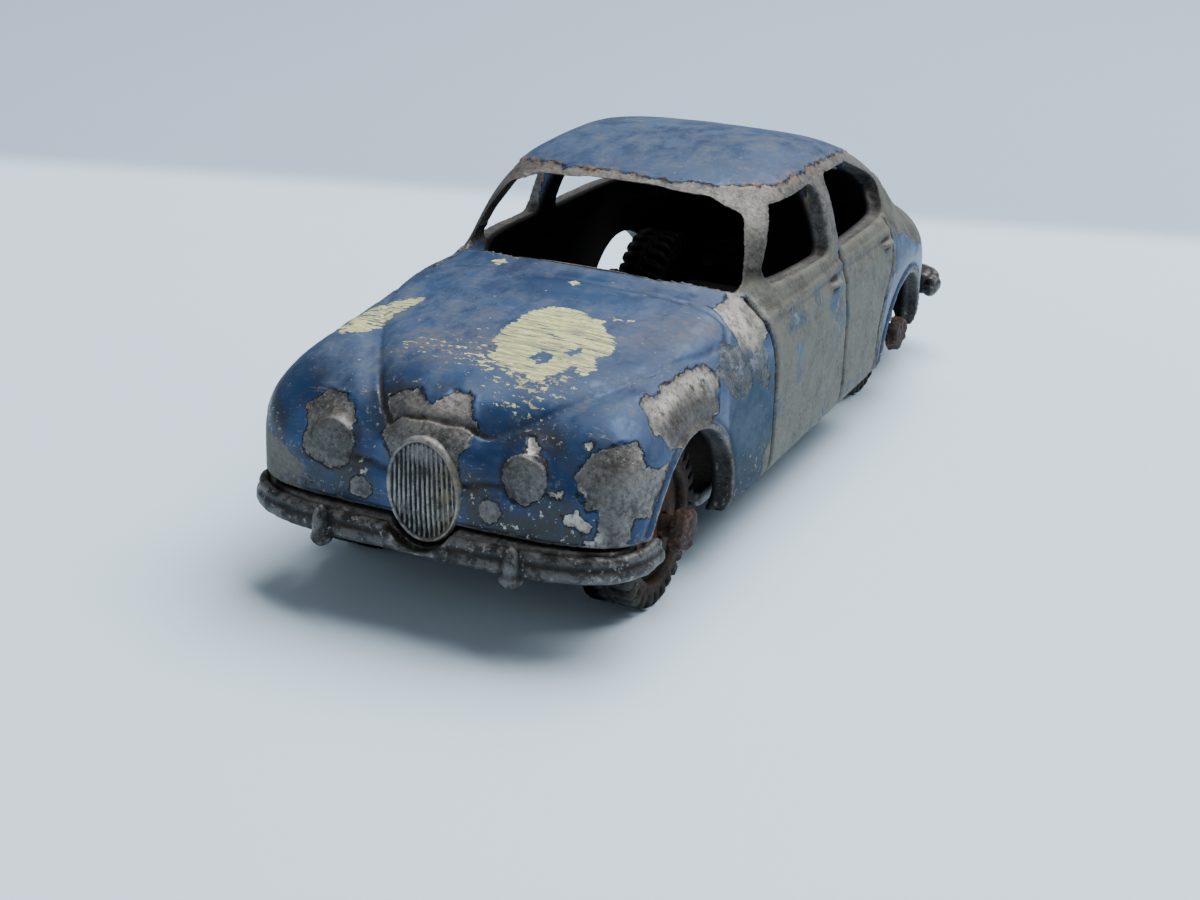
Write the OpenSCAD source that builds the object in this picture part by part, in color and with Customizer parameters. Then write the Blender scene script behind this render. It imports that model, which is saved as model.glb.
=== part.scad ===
// Die-cast toy saloon car: a hollow zinc body casting riveted to a zinc baseplate that carries
// both bumpers, with four moulded wheels on two steel axles.
// Millimetres. The nose points along -Y, +Z is up, and the origin is on the ground at the
// centre of the overall length.

/* [Body] */
// Length of the body casting, nose to tail
body_length = 59.0; // [58:0.2:60]
// Width of the body casting over the doors
body_width = 22.2; // [21.4:0.2:23]
// Height of the roof above the ground
roof_height = 19.5; // [19:0.1:20]
// Thickness of the cast walls
wall = 1.2; // [0.9:0.1:1.4]
// Height of the sills above the ground
sill_height = 3.4; // [3.2:0.1:3.8]
// Height of the body's lower edge above the bumper aprons
apron_edge_height = 5.95; // [5.9:0.05:6.2]
// Depth of the cast door and bonnet lines
line_depth = 0.25; // [0.15:0.05:0.35]
// Width of the cast door and bonnet lines
line_width = 0.22; // [0.15:0.01:0.3]

/* [Grille and lamps] */
// Half width of the grille oval
grille_half_width = 2.1; // [1.9:0.05:2.3]
// Half height of the grille oval
grille_half_height = 2.85; // [2.6:0.05:3.1]
// Radius of a headlamp
headlamp_radius = 1.25; // [1.1:0.05:1.4]
// Distance of a headlamp from the centre plane
headlamp_x = 5.35; // [5.1:0.05:5.7]
// Height of a headlamp above the ground
headlamp_z = 9.15; // [9:0.05:9.4]
// Radius of a fog lamp
fog_lamp_radius = 0.65; // [0.5:0.05:0.8]

/* [Running gear] */
// Distance between the two axles
wheelbase = 37.2; // [36.6:0.1:37.8]
// Diameter of a wheel over its tread
wheel_diameter = 9.0; // [8.4:0.2:9.4]
// Width of a wheel
wheel_width = 3.0; // [2.6:0.1:3.2]
// Distance between the outer faces of the front wheels
front_track = 18.6; // [18:0.2:18.8]
// Distance between the outer faces of the rear wheels
rear_track = 17.0; // [16.8:0.2:17.6]
// Diameter of an axle
axle_diameter = 1.2; // [1:0.1:1.4]
// Radial running clearance of an axle in its tunnel and in its wheels
running_clearance = 0.06; // [0.03:0.01:0.09]
// Radius of the arch cut over each front wheel
front_arch_radius = 5.3; // [5.1:0.1:5.5]
// Radius of the lower arch cut over each rear wheel
rear_arch_radius = 5.0; // [4.8:0.1:5.2]
// Number of tread blocks round each edge of a wheel
tread_blocks = 30; // [24:1:36]

/* [Baseplate] */
// Thickness of the baseplate
plate_thickness = 1.0; // [0.8:0.1:1.2]
// Height of a bumper blade
bumper_height = 1.45; // [1.3:0.05:1.6]
// Thickness of a bumper blade
bumper_thickness = 1.0; // [0.8:0.1:1.1]
// Radius of a cast post where it passes through the baseplate
post_neck_radius = 1.0; // [0.8:0.1:1.2]

/* [Hidden] */

nose_y = -body_length / 2;
tail_y = body_length / 2;
half_width = body_width / 2;
waist_z = 7.5;                       // height at which the body is widest
belt_z = 14.5;                       // height of the crown at the cowl
front_corner = 5.9;                  // length over which the plan narrows at the nose
rear_corner = 18.5;                  // and at the tail
bonnet_roll = 6.1;                   // length over which the bonnet rolls over at the nose
cowl_y = -11;                        // back edge of the bonnet
door_lines = [-9.5, 2.9];            // the two straight door lines
bonnet_fall = 0.115;                 // drop of the bonnet for each millimetre forward
under_depth = 5.2;                   // depth of the full section below the waist

roof_base_z = 11.5;                  // the roof stack starts here, hidden in the lower body
roof_centre_y = 1.5;
roof_front_y = -13.3;
roof_back_y = 23.6;
roof_half_width = 10.6;
roof_lean = 1.7;                     // narrowing of the roof on each side over its height
roof_front_rake = 4.5;
roof_back_rake = 4.9;
roof_plan_power = 3.6;

wheel_radius = wheel_diameter / 2;
axle_radius = axle_diameter / 2;
axle_z = wheel_radius;
front_axle_y = -21.0;
rear_axle_y = front_axle_y + wheelbase;
axle_head_radius = 1.1;
axle_half_length = 10.9;
axle_head_length = 0.8;
axle_head_rounding = 0.35;
bore_radius = axle_radius + running_clearance;

plate_z = 3.3;                       // underside of the baseplate
plate_top_z = plate_z + plate_thickness;
web_thickness = 1.5;                 // thickness of the web behind each bumper
apron_start = 25.7;                  // the body's lower edge is raised beyond this station at each end
plate_inset = 1.0;                   // allowance for the walls leaning in towards the sills
tunnel_half_length = 5.1;            // half length of each axle tunnel
tunnel_top_z = 5.6;
fit_gap = 0.15;                      // gap between the baseplate and the body walls
wheel_well_x = 5.3;                  // inner edge of each wheel's cut-out in the baseplate
bumper_z = 4.35;                     // underside of a bumper blade
grille_lean = 3;                     // forward lean of the grille in degrees
rivet_spread = 0.6;                  // how far a rivet head spreads beyond its neck
post_radius = 1.7;
post_gap = 0.05;                     // gap between a post and the baseplate
front_post_y = -14.6;
rear_post_y = 22.6;

// ---- Curves ----

function clamped(t) = max(0, min(1, t));
function eased(t) = let(u = clamped(t)) u * u * (3 - 2 * u);
// A superellipse quarter: 1 at t = 0 and 0 at t = 1
function quarter(t, n) = pow(1 - pow(clamped(t), n), 1 / n);
function signed_pow(v, p) = sign(v) * pow(abs(v), p);
function bell(d, spread) = exp(-d * d / (spread * spread));

function reversed(list) = [for (i = [len(list) - 1:-1:0]) list[i]];

// How far along the nose corner, or the tail corner, a station lies; t moves the walls in
function nose_turn(y, span, t) = (nose_y + span - y) / (span - t);
function tail_turn(y, t) = (y - tail_y + rear_corner) / (rear_corner - t);

// Half width of the lower body in plan
function plan_half(y, t) =
    (half_width - t) * quarter(nose_turn(y, front_corner, t), 3.9) * quarter(tail_turn(y, t), 3.0);

// Height of the lower body's crown above the waist
function crown(y, t) =
    (belt_z - bonnet_fall * max(0, cowl_y - y) - waist_z - t)
    * quarter(nose_turn(y, bonnet_roll, t), 2.2) * quarter(tail_turn(y, t), 1.8);

// The section is squarer at the doors than at the ends
function squareness(y) = 3.4 + 0.4 * eased((y + 18) / 8) - 1.0 * eased((y - 12) / 8);

// Radius of the section at angle a, measured from the waist line
function section_radius(a, w, h, q) = pow(pow(abs(cos(a)) / w, q) + pow(abs(sin(a)) / h, q), -1 / q);

// Small lift along the crest of each front wing
function wing_lift(x, y) =
    0.35 * bell(abs(x) - 9, 1.6) * eased((-10 - y) / 4) * eased((y - nose_y) / 3);

// The bonnet stands forward above the grille, with a hollow on each side of it
function nose_push(x, z) =
    -0.9 * bell(x, 2.7) * eased((z - 8) / 2.5) + 0.35 * bell(abs(x) - 3.4, 1.3) * bell(z - 8.5, 2.6);

function styled(p) =
    let(top = eased((p[2] - waist_z) / 3), near_nose = eased((nose_y + 6 - p[1]) / 5))
    [p[0], p[1] + nose_push(p[0], p[2]) * near_nose, p[2] + top * wing_lift(p[0], p[1])];

function lower_ring(y, t, n) = [
    for (i = [0:n - 1])
        let(a = 360 * (i + 0.5) / n, up = sin(a) > 0,
            r = section_radius(a, plan_half(y, t), up ? crown(y, t) : under_depth, up ? squareness(y) : 6))
        styled([r * cos(a), y, waist_z + r * sin(a)])];

// Stations along the body, close together where the nose and the tail turn in
function stations(t, m) = [
    for (i = [1:m - 1])
        let(u = i / m, even = nose_y + t + (body_length - 2 * t) * u,
            bunched = (nose_y + t) * cos(180 * u) * (0.85 + 0.15 * pow(abs(cos(180 * u)), 8)))
        0.45 * even + 0.55 * bunched];

// Skins a list of rings of equal length, with a point at each end
module skin(rings, first_point, last_point) {
    n = len(rings[0]);
    m = len(rings);
    points = concat([for (r = rings) for (p = r) p], [first_point, last_point]);
    sides = [for (j = [0:m - 2]) for (i = [0:n - 1])
        let(k = (i + 1) % n)
        each [[j * n + i, j * n + k, (j + 1) * n + k], [j * n + i, (j + 1) * n + k, (j + 1) * n + i]]];
    first_cap = [for (i = [0:n - 1]) [m * n, (i + 1) % n, i]];
    last_cap = [for (i = [0:n - 1]) [m * n + 1, (m - 1) * n + i, (m - 1) * n + (i + 1) % n]];
    polyhedron(points, concat(sides, first_cap, last_cap), convexity = 6);
}

module lower_body(t, n, m) {
    rings = [for (y = stations(t, m)) lower_ring(y, t, n)];
    skin(rings, styled([0, nose_y + t, waist_z]), [0, tail_y - t, waist_z]);
}

// ---- Roof: rounded slices stacked by height ----

function roof_half(h, t) = (roof_half_width - t - roof_lean * h) * quarter(h, 4.7);
function roof_reach(h, t, front) =
    front ? (roof_centre_y - roof_front_y - t - roof_front_rake * h) * quarter(h, 2.8)
          : (roof_back_y - t - roof_centre_y - roof_back_rake * h) * quarter(h, 2.0);

function roof_ring(h, t, n) = [
    for (i = [0:n - 1])
        let(a = -360 * i / n, q = 2 / roof_plan_power)
        [roof_half(h, t) * signed_pow(cos(a), q),
         roof_centre_y + roof_reach(h, t, sin(a) < 0) * signed_pow(sin(a), q),
         roof_base_z + h * (roof_height - t - roof_base_z)]];

module roof_stack(t, n, layers) {
    rings = [for (i = [0:layers - 1]) roof_ring(pow(sin(90 * i / layers), 0.9), t, n)];
    skin(rings, [0, roof_centre_y, roof_base_z], [0, roof_centre_y, roof_height - t]);
}

module outer_form() {
    lower_body(0, 48, 36);
    roof_stack(0, 44, 12);
}

module inner_form() {
    lower_body(wall, 26, 18);
    roof_stack(wall, 26, 8);
}

// ---- Openings ----

module rounded(points, r) {
    offset(r = r, $fn = 24) offset(delta = -r) polygon(points);
}

// Cuts through both sides, from an outline in Y and Z
module side_cut(points, r) {
    rotate([90, 0, 90]) linear_extrude(height = body_width + 4, center = true) rounded(points, r);
}

// Cuts along the car from y0 to y1, from an outline in X and Z
module end_cut(y0, y1, points, r) {
    translate([0, y1, 0]) rotate([90, 0, 0]) linear_extrude(height = y1 - y0) rounded(points, r);
}

// The windscreen and the rear window stop at the roof stack, so the bonnet and the boot stay whole
module windows() {
    side_cut([[-8.0, 13.8], [-4.3, 17.4], [1.8, 17.5], [1.4, 13.5]], 0.6);
    side_cut([[3.3, 13.4], [3.7, 17.6], [8.6, 17.35], [14.3, 15.2], [13.2, 13.3]], 0.7);
    intersection() {
        union() {
            end_cut(-16, -3, [[-8.5, 13.4], [-7.95, 15.6], [-7.25, 17.2], [-5.2, 17.9], [-1.5, 18.1],
                              [1.5, 18.1], [5.2, 17.9], [7.25, 17.2], [7.95, 15.6], [8.5, 13.4]], 0.8);
            end_cut(7, 24, [[-5.8, 14.6], [-4.9, 17.3], [4.9, 17.3], [5.8, 14.6]], 0.9);
        }
        roof_stack(-0.1, 44, 12);
    }
}

module wheel_arches() {
    for (arch = [[front_axle_y - 0.1, axle_z - 0.1, front_arch_radius], [rear_axle_y, 3.5, rear_arch_radius]])
        translate([0, arch[0], arch[1]]) rotate([0, 90, 0])
            cylinder(r = arch[2], h = body_width + 4, center = true, $fn = 56);
}

// One side of the bonnet's outline in plan, from its tip to its back edge
bonnet_side = [[0.8, -28.6], [2.9, -28.1], [4.9, -27.1], [6.2, -25.8], [7.3, -24.2],
               [8.5, -21.2], [9.5, -17.4], [9.9, -14.6], [9.4, -13.6], [7, -13.2]];

module bonnet_outline() {
    polygon(concat(bonnet_side, [for (p = reversed(bonnet_side)) [-p[0], p[1]]]));
}

// Shallow grooves round the bonnet and the doors
module panel_lines() {
    difference() {
        union() {
            for (y = door_lines)
                translate([0, y, 8.7]) cube([body_width + 2, line_width, 10], center = true);
            translate([0, 0, waist_z + 3]) linear_extrude(height = 10) difference() {
                bonnet_outline();
                offset(delta = -line_width) bonnet_outline();
            }
        }
        lower_body(line_depth, 48, 36);
    }
}

// ---- Nose fittings cast with the body ----

module facing_forward(x, y, z) {
    translate([x, y, z]) rotate([90, 0, 0]) children();
}

// Each headlamp ends a rounded pod that runs back into the wing
module headlamps() {
    for (side = [-1, 1]) translate([side * headlamp_x, nose_y + 2.5, headlamp_z]) {
        scale([1.55, 2.3, 1.6]) sphere(r = 1, $fn = 24);
        rotate([90, 0, 0]) {
            cylinder(r = headlamp_radius, h = 2.15, $fn = 28);
            translate([0, 0, 2.15]) scale([1, 1, 0.25]) sphere(r = headlamp_radius - 0.15, $fn = 20);
        }
    }
}

module fog_lamps() {
    for (side = [-1, 1]) facing_forward(side * 3.65, nose_y + 1.8, 7.1)
        cylinder(r = fog_lamp_radius, h = 1.85, $fn = 20);
}

// Places its child on the grille's sloping axis, facing forward
module on_grille() {
    translate([0, nose_y + 0.05, 7.6]) rotate([90 + grille_lean, 0, 0]) children();
}

module oval(inset, from_depth, to_depth, sides) {
    translate([0, 0, from_depth])
        scale([grille_half_width - inset, grille_half_height - inset, 1])
            cylinder(r = 1, h = to_depth - from_depth, $fn = sides);
}

// Upright ribs inside a plain rim, cut as slots into the face of the oval
module grille() {
    rib_pitch = 0.36;
    slot_width = 0.2;
    face = 0.25;
    on_grille() difference() {
        oval(0, -1.5, face, 40);
        intersection() {
            oval(0.25, face - slot_width, 2 * face, 40);
            for (i = [-5:5]) translate([i * rib_pitch, 0, face]) cube([slot_width, 9, 0.4], center = true);
        }
    }
}

// Cone from the baseplate's underside up to a post's neck
module rivet_cone(neck) {
    translate([0, 0, plate_z]) cylinder(r1 = neck + rivet_spread, r2 = neck, h = rivet_spread, $fn = 48);
}

// Posts that pass through the baseplate and are spun out into countersinks, flush with its underside
module post(y, top_z) {
    translate([0, y, 0]) {
        translate([0, 0, plate_top_z + post_gap])
            cylinder(r = post_radius, h = top_z - plate_top_z, $fn = 32);
        translate([0, 0, plate_z]) cylinder(r = post_neck_radius, h = plate_thickness + 0.2, $fn = 32);
        rivet_cone(post_neck_radius);
    }
}

module body_casting() {
    color("steelblue") resize([body_width, 0, 0]) {
        difference() {
            union() {
                outer_form();
                headlamps();
                fog_lamps();
                grille();
            }
            difference() {
                inner_form();
                for (side = [-1, 1]) translate([side * 11, 0, 0]) cube([1, 1, 1]);
            }
            translate([0, 0, sill_height - 10]) cube([40, 80, 20], center = true);
            for (end = [-1, 1]) translate([0, end * (apron_start + 10), apron_edge_height - 10])
                cube([40, 20, 20], center = true);
            windows();
            wheel_arches();
            panel_lines();
        }
        post(front_post_y, 13.5);
        post(rear_post_y, 11.4);
    }
}

// ---- Baseplate with both bumpers ----

module plate_outline(t) {
    m = 24;
    ys = [for (i = [0:m]) nose_y + 2 + (body_length - 4) * i / m];
    polygon(concat([for (y = ys) [plan_half(y, t) - plate_inset, y]],
                   [for (i = [m:-1:0]) [plate_inset - plan_half(ys[i], t), ys[i]]]));
}

// A bumper: which end it guards, its half width, its wrap round the body and its distance from it
front_bumper = [-1, 11.25, 5.2, 1.0];
rear_bumper = [1, 10.4, 4.4, 1.0];

function bumper_face(b) = b[0] * (body_length / 2 + b[3]);

// Points of a bumper's line in plan, from one tip to the other, moved out by t
function bumper_line(b, t) = [
    for (i = [-14:14])
        let(a = 90 * i / 14, q = 2 / 3.4,
            x = (b[1] + t) * signed_pow(sin(a), q), reach = (b[2] + t) * pow(abs(cos(a)), q))
        [x, bumper_face(b) + b[0] * (reach - b[2])]];

// Slices of the blade from bottom to top: share of its height, and how far each is set back
blade_slices = [[0.14, 0.18], [0.24, 0], [0.16, 0.14], [0.3, 0], [0.16, 0.18]];

function height_below(i) = i == 0 ? 0 : height_below(i - 1) + blade_slices[i - 1][0] * bumper_height;

module overrider() {
    rotate_extrude($fn = 24) polygon([[0, -1.1], [0.3, -1.0], [0.5, -0.6], [0.5, 0.6], [0.3, 1.0], [0, 1.1]]);
}

module bumper(b) {
    for (i = [0:len(blade_slices) - 1])
        translate([0, 0, bumper_z + height_below(i)])
            linear_extrude(height = blade_slices[i][0] * bumper_height)
                polygon(concat(bumper_line(b, -blade_slices[i][1]),
                               reversed(bumper_line(b, -bumper_thickness))));
    for (side = [-1, 1])
        translate([side * 5.35, bumper_face(b) + b[0] * -0.15, bumper_z + bumper_height / 2]) overrider();
}

// Web that carries a bumper, and the step that joins it to the floor
module apron(b) {
    inner_y = b[0] * (body_length / 2 - 3.6);
    translate([0, 0, bumper_z + 0.05]) linear_extrude(height = web_thickness)
        polygon([for (p = bumper_line(b, 0.2 - bumper_thickness)) if (abs(p[1]) > abs(inner_y)) p]);
    translate([0, b[0] * (body_length / 2 - 3.1), (plate_z + bumper_z + web_thickness) / 2])
        cube([14, 1, bumper_z + web_thickness - plate_z], center = true);
}

module baseplate() {
    color("dimgray") difference() {
        union() {
            translate([0, 0, plate_z]) linear_extrude(height = plate_thickness) difference() {
                plate_outline(wall + fit_gap);
                for (y = [front_axle_y, rear_axle_y], side = [-1, 1])
                    translate([side * (wheel_well_x + 5), y]) square([10, 11], center = true);
            }
            for (y = [front_axle_y, rear_axle_y])
                translate([0, y, (plate_z + tunnel_top_z) / 2])
                    cube([2 * tunnel_half_length, 3.2, tunnel_top_z - plate_z], center = true);
            for (b = [front_bumper, rear_bumper]) {
                bumper(b);
                apron(b);
            }
        }
        for (y = [front_axle_y, rear_axle_y])
            translate([0, y, axle_z]) rotate([0, 90, 0])
                cylinder(r = bore_radius, h = 30, center = true, $fn = 48);
        for (y = [front_post_y, rear_post_y]) translate([0, y, 0]) {
            translate([0, 0, plate_z - 2]) cylinder(r = post_neck_radius + post_gap, h = 6, $fn = 48);
            rivet_cone(post_neck_radius + post_gap);
        }
        // Notch in the blade for the foot of the grille
        on_grille() translate([0, 0, -2]) scale([grille_half_width + 0.12, grille_half_height + 0.12, 1])
            cylinder(r = 1, h = 4, $fn = 40);
    }
}

// ---- Axles and wheels ----

// One end of an axle's outline, from its tip to the shaft beside the head
axle_end = [[0, axle_half_length], [axle_head_radius * 0.6, axle_half_length],
            [axle_head_radius, axle_half_length - axle_head_rounding],
            [axle_head_radius, axle_half_length - axle_head_length],
            [axle_radius, axle_half_length - axle_head_length]];

module axle(y) {
    color("sienna") translate([0, y, axle_z]) rotate([0, 90, 0]) rotate_extrude($fn = 64)
        polygon(concat([for (p = axle_end) [p[0], -p[1]]], reversed(axle_end)));
}

module front_axle() axle(front_axle_y);
module rear_axle() axle(rear_axle_y);

// A wheel with its outer face at x = 0 and its body towards -X, before it is mirrored into place
module wheel_blank() {
    rotate([0, 90, 0]) difference() {
        translate([0, 0, -wheel_width]) rotate_extrude($fn = 96)
            polygon([[bore_radius, 0.3], [2.6, 0.3], [2.9, 0], [wheel_radius - 0.25, 0], [wheel_radius, 0.3],
                     [wheel_radius, wheel_width - 0.3], [wheel_radius - 0.25, wheel_width],
                     [3.3, wheel_width], [3.0, wheel_width - 0.5], [1.5, wheel_width - 0.5],
                     [1.4, wheel_width], [bore_radius, wheel_width]]);
        for (i = [0:tread_blocks - 1], z = [-0.35, -wheel_width + 0.35])
            rotate([0, 0, 360 * i / tread_blocks]) translate([wheel_radius, 0, z])
                cube([0.36, 0.34, 0.72], center = true);
    }
}

module wheel(side, track, y) {
    color("dimgray") translate([side * track / 2, y, axle_z])
        mirror([side < 0 ? 1 : 0, 0, 0]) wheel_blank();
}

module front_left_wheel() wheel(1, front_track, front_axle_y);
module front_right_wheel() wheel(-1, front_track, front_axle_y);
module rear_left_wheel() wheel(1, rear_track, rear_axle_y);
module rear_right_wheel() wheel(-1, rear_track, rear_axle_y);

body_casting();
baseplate();
front_axle();
rear_axle();
front_left_wheel();
front_right_wheel();
rear_left_wheel();
rear_right_wheel();
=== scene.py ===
"""Looks for the die-cast toy saloon: its worn casting, baseplate with bumpers, wheels and axles.

Lengths in the shape code are millimetres in the car's own frame: the nose points along -Y and +Z is up.
"""

import math

import bpy
import numpy as np
import openvdb
from mathutils import Matrix, Vector


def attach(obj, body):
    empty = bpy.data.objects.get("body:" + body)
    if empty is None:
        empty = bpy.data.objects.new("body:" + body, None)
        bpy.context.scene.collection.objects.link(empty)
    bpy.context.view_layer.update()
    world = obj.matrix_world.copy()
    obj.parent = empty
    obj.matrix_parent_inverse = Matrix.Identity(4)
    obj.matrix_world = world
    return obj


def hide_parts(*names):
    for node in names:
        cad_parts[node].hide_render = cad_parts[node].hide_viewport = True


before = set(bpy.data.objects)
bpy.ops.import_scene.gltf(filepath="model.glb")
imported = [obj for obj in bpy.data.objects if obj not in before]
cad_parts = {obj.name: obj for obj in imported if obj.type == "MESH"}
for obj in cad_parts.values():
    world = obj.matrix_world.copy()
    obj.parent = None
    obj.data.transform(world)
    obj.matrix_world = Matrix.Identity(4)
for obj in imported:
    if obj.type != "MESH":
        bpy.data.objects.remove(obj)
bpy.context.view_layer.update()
MM = 0.001

# ---- Measures shared with the frame ----
# An arch is the y and z of its centre and its radius, and a post its y and the z of its top
NOSE_Y, TAIL_Y, HALF_WIDTH = -29.5, 29.5, 11.1
WAIST_Z, BELT_Z, UNDER_DEPTH = 7.5, 14.5, 5.2
FRONT_CORNER, REAR_CORNER, BONNET_ROLL = 5.9, 18.5, 6.1
COWL_Y, BONNET_FALL = -11.0, 0.115
ROOF_BASE_Z, ROOF_Z, ROOF_CENTRE_Y = 11.5, 19.5, 1.5
ROOF_FRONT_Y, ROOF_BACK_Y, ROOF_HALF_WIDTH, ROOF_LEAN = -13.3, 23.6, 10.6, 1.7
ROOF_FRONT_RAKE, ROOF_BACK_RAKE, ROOF_PLAN_POWER = 4.5, 4.9, 3.6
WALL = 1.2
SILL_Z, APRON_Z, APRON_START = 3.4, 5.95, 25.7
FRONT_AXLE_Y, REAR_AXLE_Y, AXLE_Z = -21.0, 16.2, 4.5
FRONT_ARCH, REAR_ARCH = (-21.1, 4.4, 5.3), (16.2, 3.5, 5.0)
LAMP_X, LAMP_Z, LAMP_R = 5.35, 9.15, 1.25
FOG_X, FOG_Z, FOG_R = 3.65, 7.1, 0.65
PLATE_Z, PLATE_TOP_Z = 3.3, 4.3
POSTS = ((-14.6, 13.5), (22.6, 11.4))


# ---- Small maths ----
def clamped(t):
    """Kept between 0 and 1."""
    return np.clip(t, 0.0, 1.0)


def eased(t):
    """A smooth step from 0 at 0 to 1 at 1."""
    u = clamped(t)
    return u * u * (3 - 2 * u)


def quarter(t, n):
    """A quarter of a superellipse: 1 at 0, falling to 0 at 1."""
    return (1 - clamped(t) ** n) ** (1 / n)


def bell(d, spread):
    """A bump of height 1 that fades over spread on each side."""
    return np.exp(-((d / spread) ** 2))


def signed_pow(v, p):
    return np.sign(v) * np.abs(v) ** p


def blend_min(a, b, k):
    """The smaller of two fields, rounded over k where they meet."""
    h = clamped(0.5 + 0.5 * (b - a) / k)
    return b + (a - b) * h - k * h * (1 - h)


def blend_max(a, b, k):
    return -blend_min(-a, -b, k)


# ---- The car's curves ----
def plan_half(y, t):
    """Half of the body's width at y, for a skin t inside the outside."""
    nose = (NOSE_Y + FRONT_CORNER - y) / (FRONT_CORNER - t)
    tail = (y - TAIL_Y + REAR_CORNER) / (REAR_CORNER - t)
    return (HALF_WIDTH - t) * quarter(nose, 3.9) * quarter(tail, 3.0)


def crown(y, t):
    """Height of the lower body above the waist at y."""
    nose = (NOSE_Y + BONNET_ROLL - y) / (BONNET_ROLL - t)
    tail = (y - TAIL_Y + REAR_CORNER) / (REAR_CORNER - t)
    height = BELT_Z - BONNET_FALL * np.maximum(0, COWL_Y - y) - WAIST_Z - t
    return height * quarter(nose, 2.2) * quarter(tail, 1.8)


def squareness(y):
    """The power of the superellipse that shapes the cross-section at y."""
    return 3.4 + 0.4 * eased((y + 18) / 8) - 1.0 * eased((y - 12) / 8)


def styled(p):
    """Wing crests, and the bonnet standing forward above the grille with a hollow on each side."""
    x, y, z = np.moveaxis(p, -1, 0)
    top, near_nose = eased((z - WAIST_Z) / 3), eased((NOSE_Y + 6 - y) / 5)
    lift = 0.35 * bell(np.abs(x) - 9, 1.6) * eased((-10 - y) / 4) * eased((y - NOSE_Y) / 3)
    push = -0.9 * bell(x, 2.7) * eased((z - 8) / 2.5)
    push += 0.35 * bell(np.abs(x) - 3.4, 1.3) * bell(z - 8.5, 2.6)
    return np.stack([x, y + push * near_nose, z + top * lift], -1)


def skin(rings, first, last):
    """Points, quads and triangles of a closed skin over rings of equal length."""
    m, n, _ = rings.shape
    j, i = np.meshgrid(np.arange(m - 1), np.arange(n), indexing="ij")
    k = (i + 1) % n
    quads = np.stack([j * n + i, j * n + k, (j + 1) * n + k, (j + 1) * n + i], -1).reshape(-1, 4)
    i = np.arange(n)
    k = (i + 1) % n
    low, high = np.full(n, m * n), np.full(n, m * n + 1)
    first_fan = np.stack([low, k, i], -1)
    last_fan = np.stack([high, (m - 1) * n + i, (m - 1) * n + k], -1)
    tris = np.concatenate([first_fan, last_fan])
    return np.concatenate([rings.reshape(-1, 3), [first, last]]), quads, tris


def lower_skin(t, n=280, m=260):
    """Bonnet, wings, doors and boot as one rounded hull, t inside the outside."""
    u = np.arange(1, m) / m
    c = np.cos(np.pi * u)
    even = NOSE_Y + t + (TAIL_Y - NOSE_Y - 2 * t) * u
    y = 0.45 * even + 0.55 * (NOSE_Y + t) * c * (0.85 + 0.15 * np.abs(c) ** 8)
    a = 2 * np.pi * (np.arange(n) + 0.5) / n
    y, a = y[:, None], a[None, :]
    up = np.sin(a) > 0
    w = np.maximum(plan_half(y, t), 1e-3)
    h = np.maximum(np.where(up, crown(y, t), UNDER_DEPTH), 1e-3)
    q = np.where(up, squareness(y), 6.0)
    r = ((np.abs(np.cos(a)) / w) ** q + (np.abs(np.sin(a)) / h) ** q) ** (-1 / q)
    rings = styled(np.stack([r * np.cos(a), y + 0 * a, WAIST_Z + r * np.sin(a)], -1))
    first = styled(np.array([0, NOSE_Y + t, WAIST_Z], float))
    return skin(rings, first, [0, TAIL_Y - t, WAIST_Z])


def roof_skin(t, n=320, layers=90):
    """The roof and pillars as one leaning dome, t inside the outside."""
    h = np.sin(0.5 * np.pi * np.arange(layers) / layers)[:, None] ** 0.9
    a = 2 * np.pi * np.arange(n)[None, :] / n
    half = (ROOF_HALF_WIDTH - t - ROOF_LEAN * h) * quarter(h, 4.7)
    front = (ROOF_CENTRE_Y - ROOF_FRONT_Y - t - ROOF_FRONT_RAKE * h) * quarter(h, 2.8)
    back = (ROOF_BACK_Y - t - ROOF_CENTRE_Y - ROOF_BACK_RAKE * h) * quarter(h, 2.0)
    reach, q = np.where(np.sin(a) < 0, front, back), 2 / ROOF_PLAN_POWER
    x = half * signed_pow(np.cos(a), q)
    y = ROOF_CENTRE_Y + reach * signed_pow(np.sin(a), q)
    z = ROOF_BASE_Z + h * (ROOF_Z - t - ROOF_BASE_Z) + 0 * a
    return skin(np.stack([x, y, z], -1), [0, ROOF_CENTRE_Y, ROOF_BASE_Z], [0, ROOF_CENTRE_Y, ROOF_Z - t])


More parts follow.
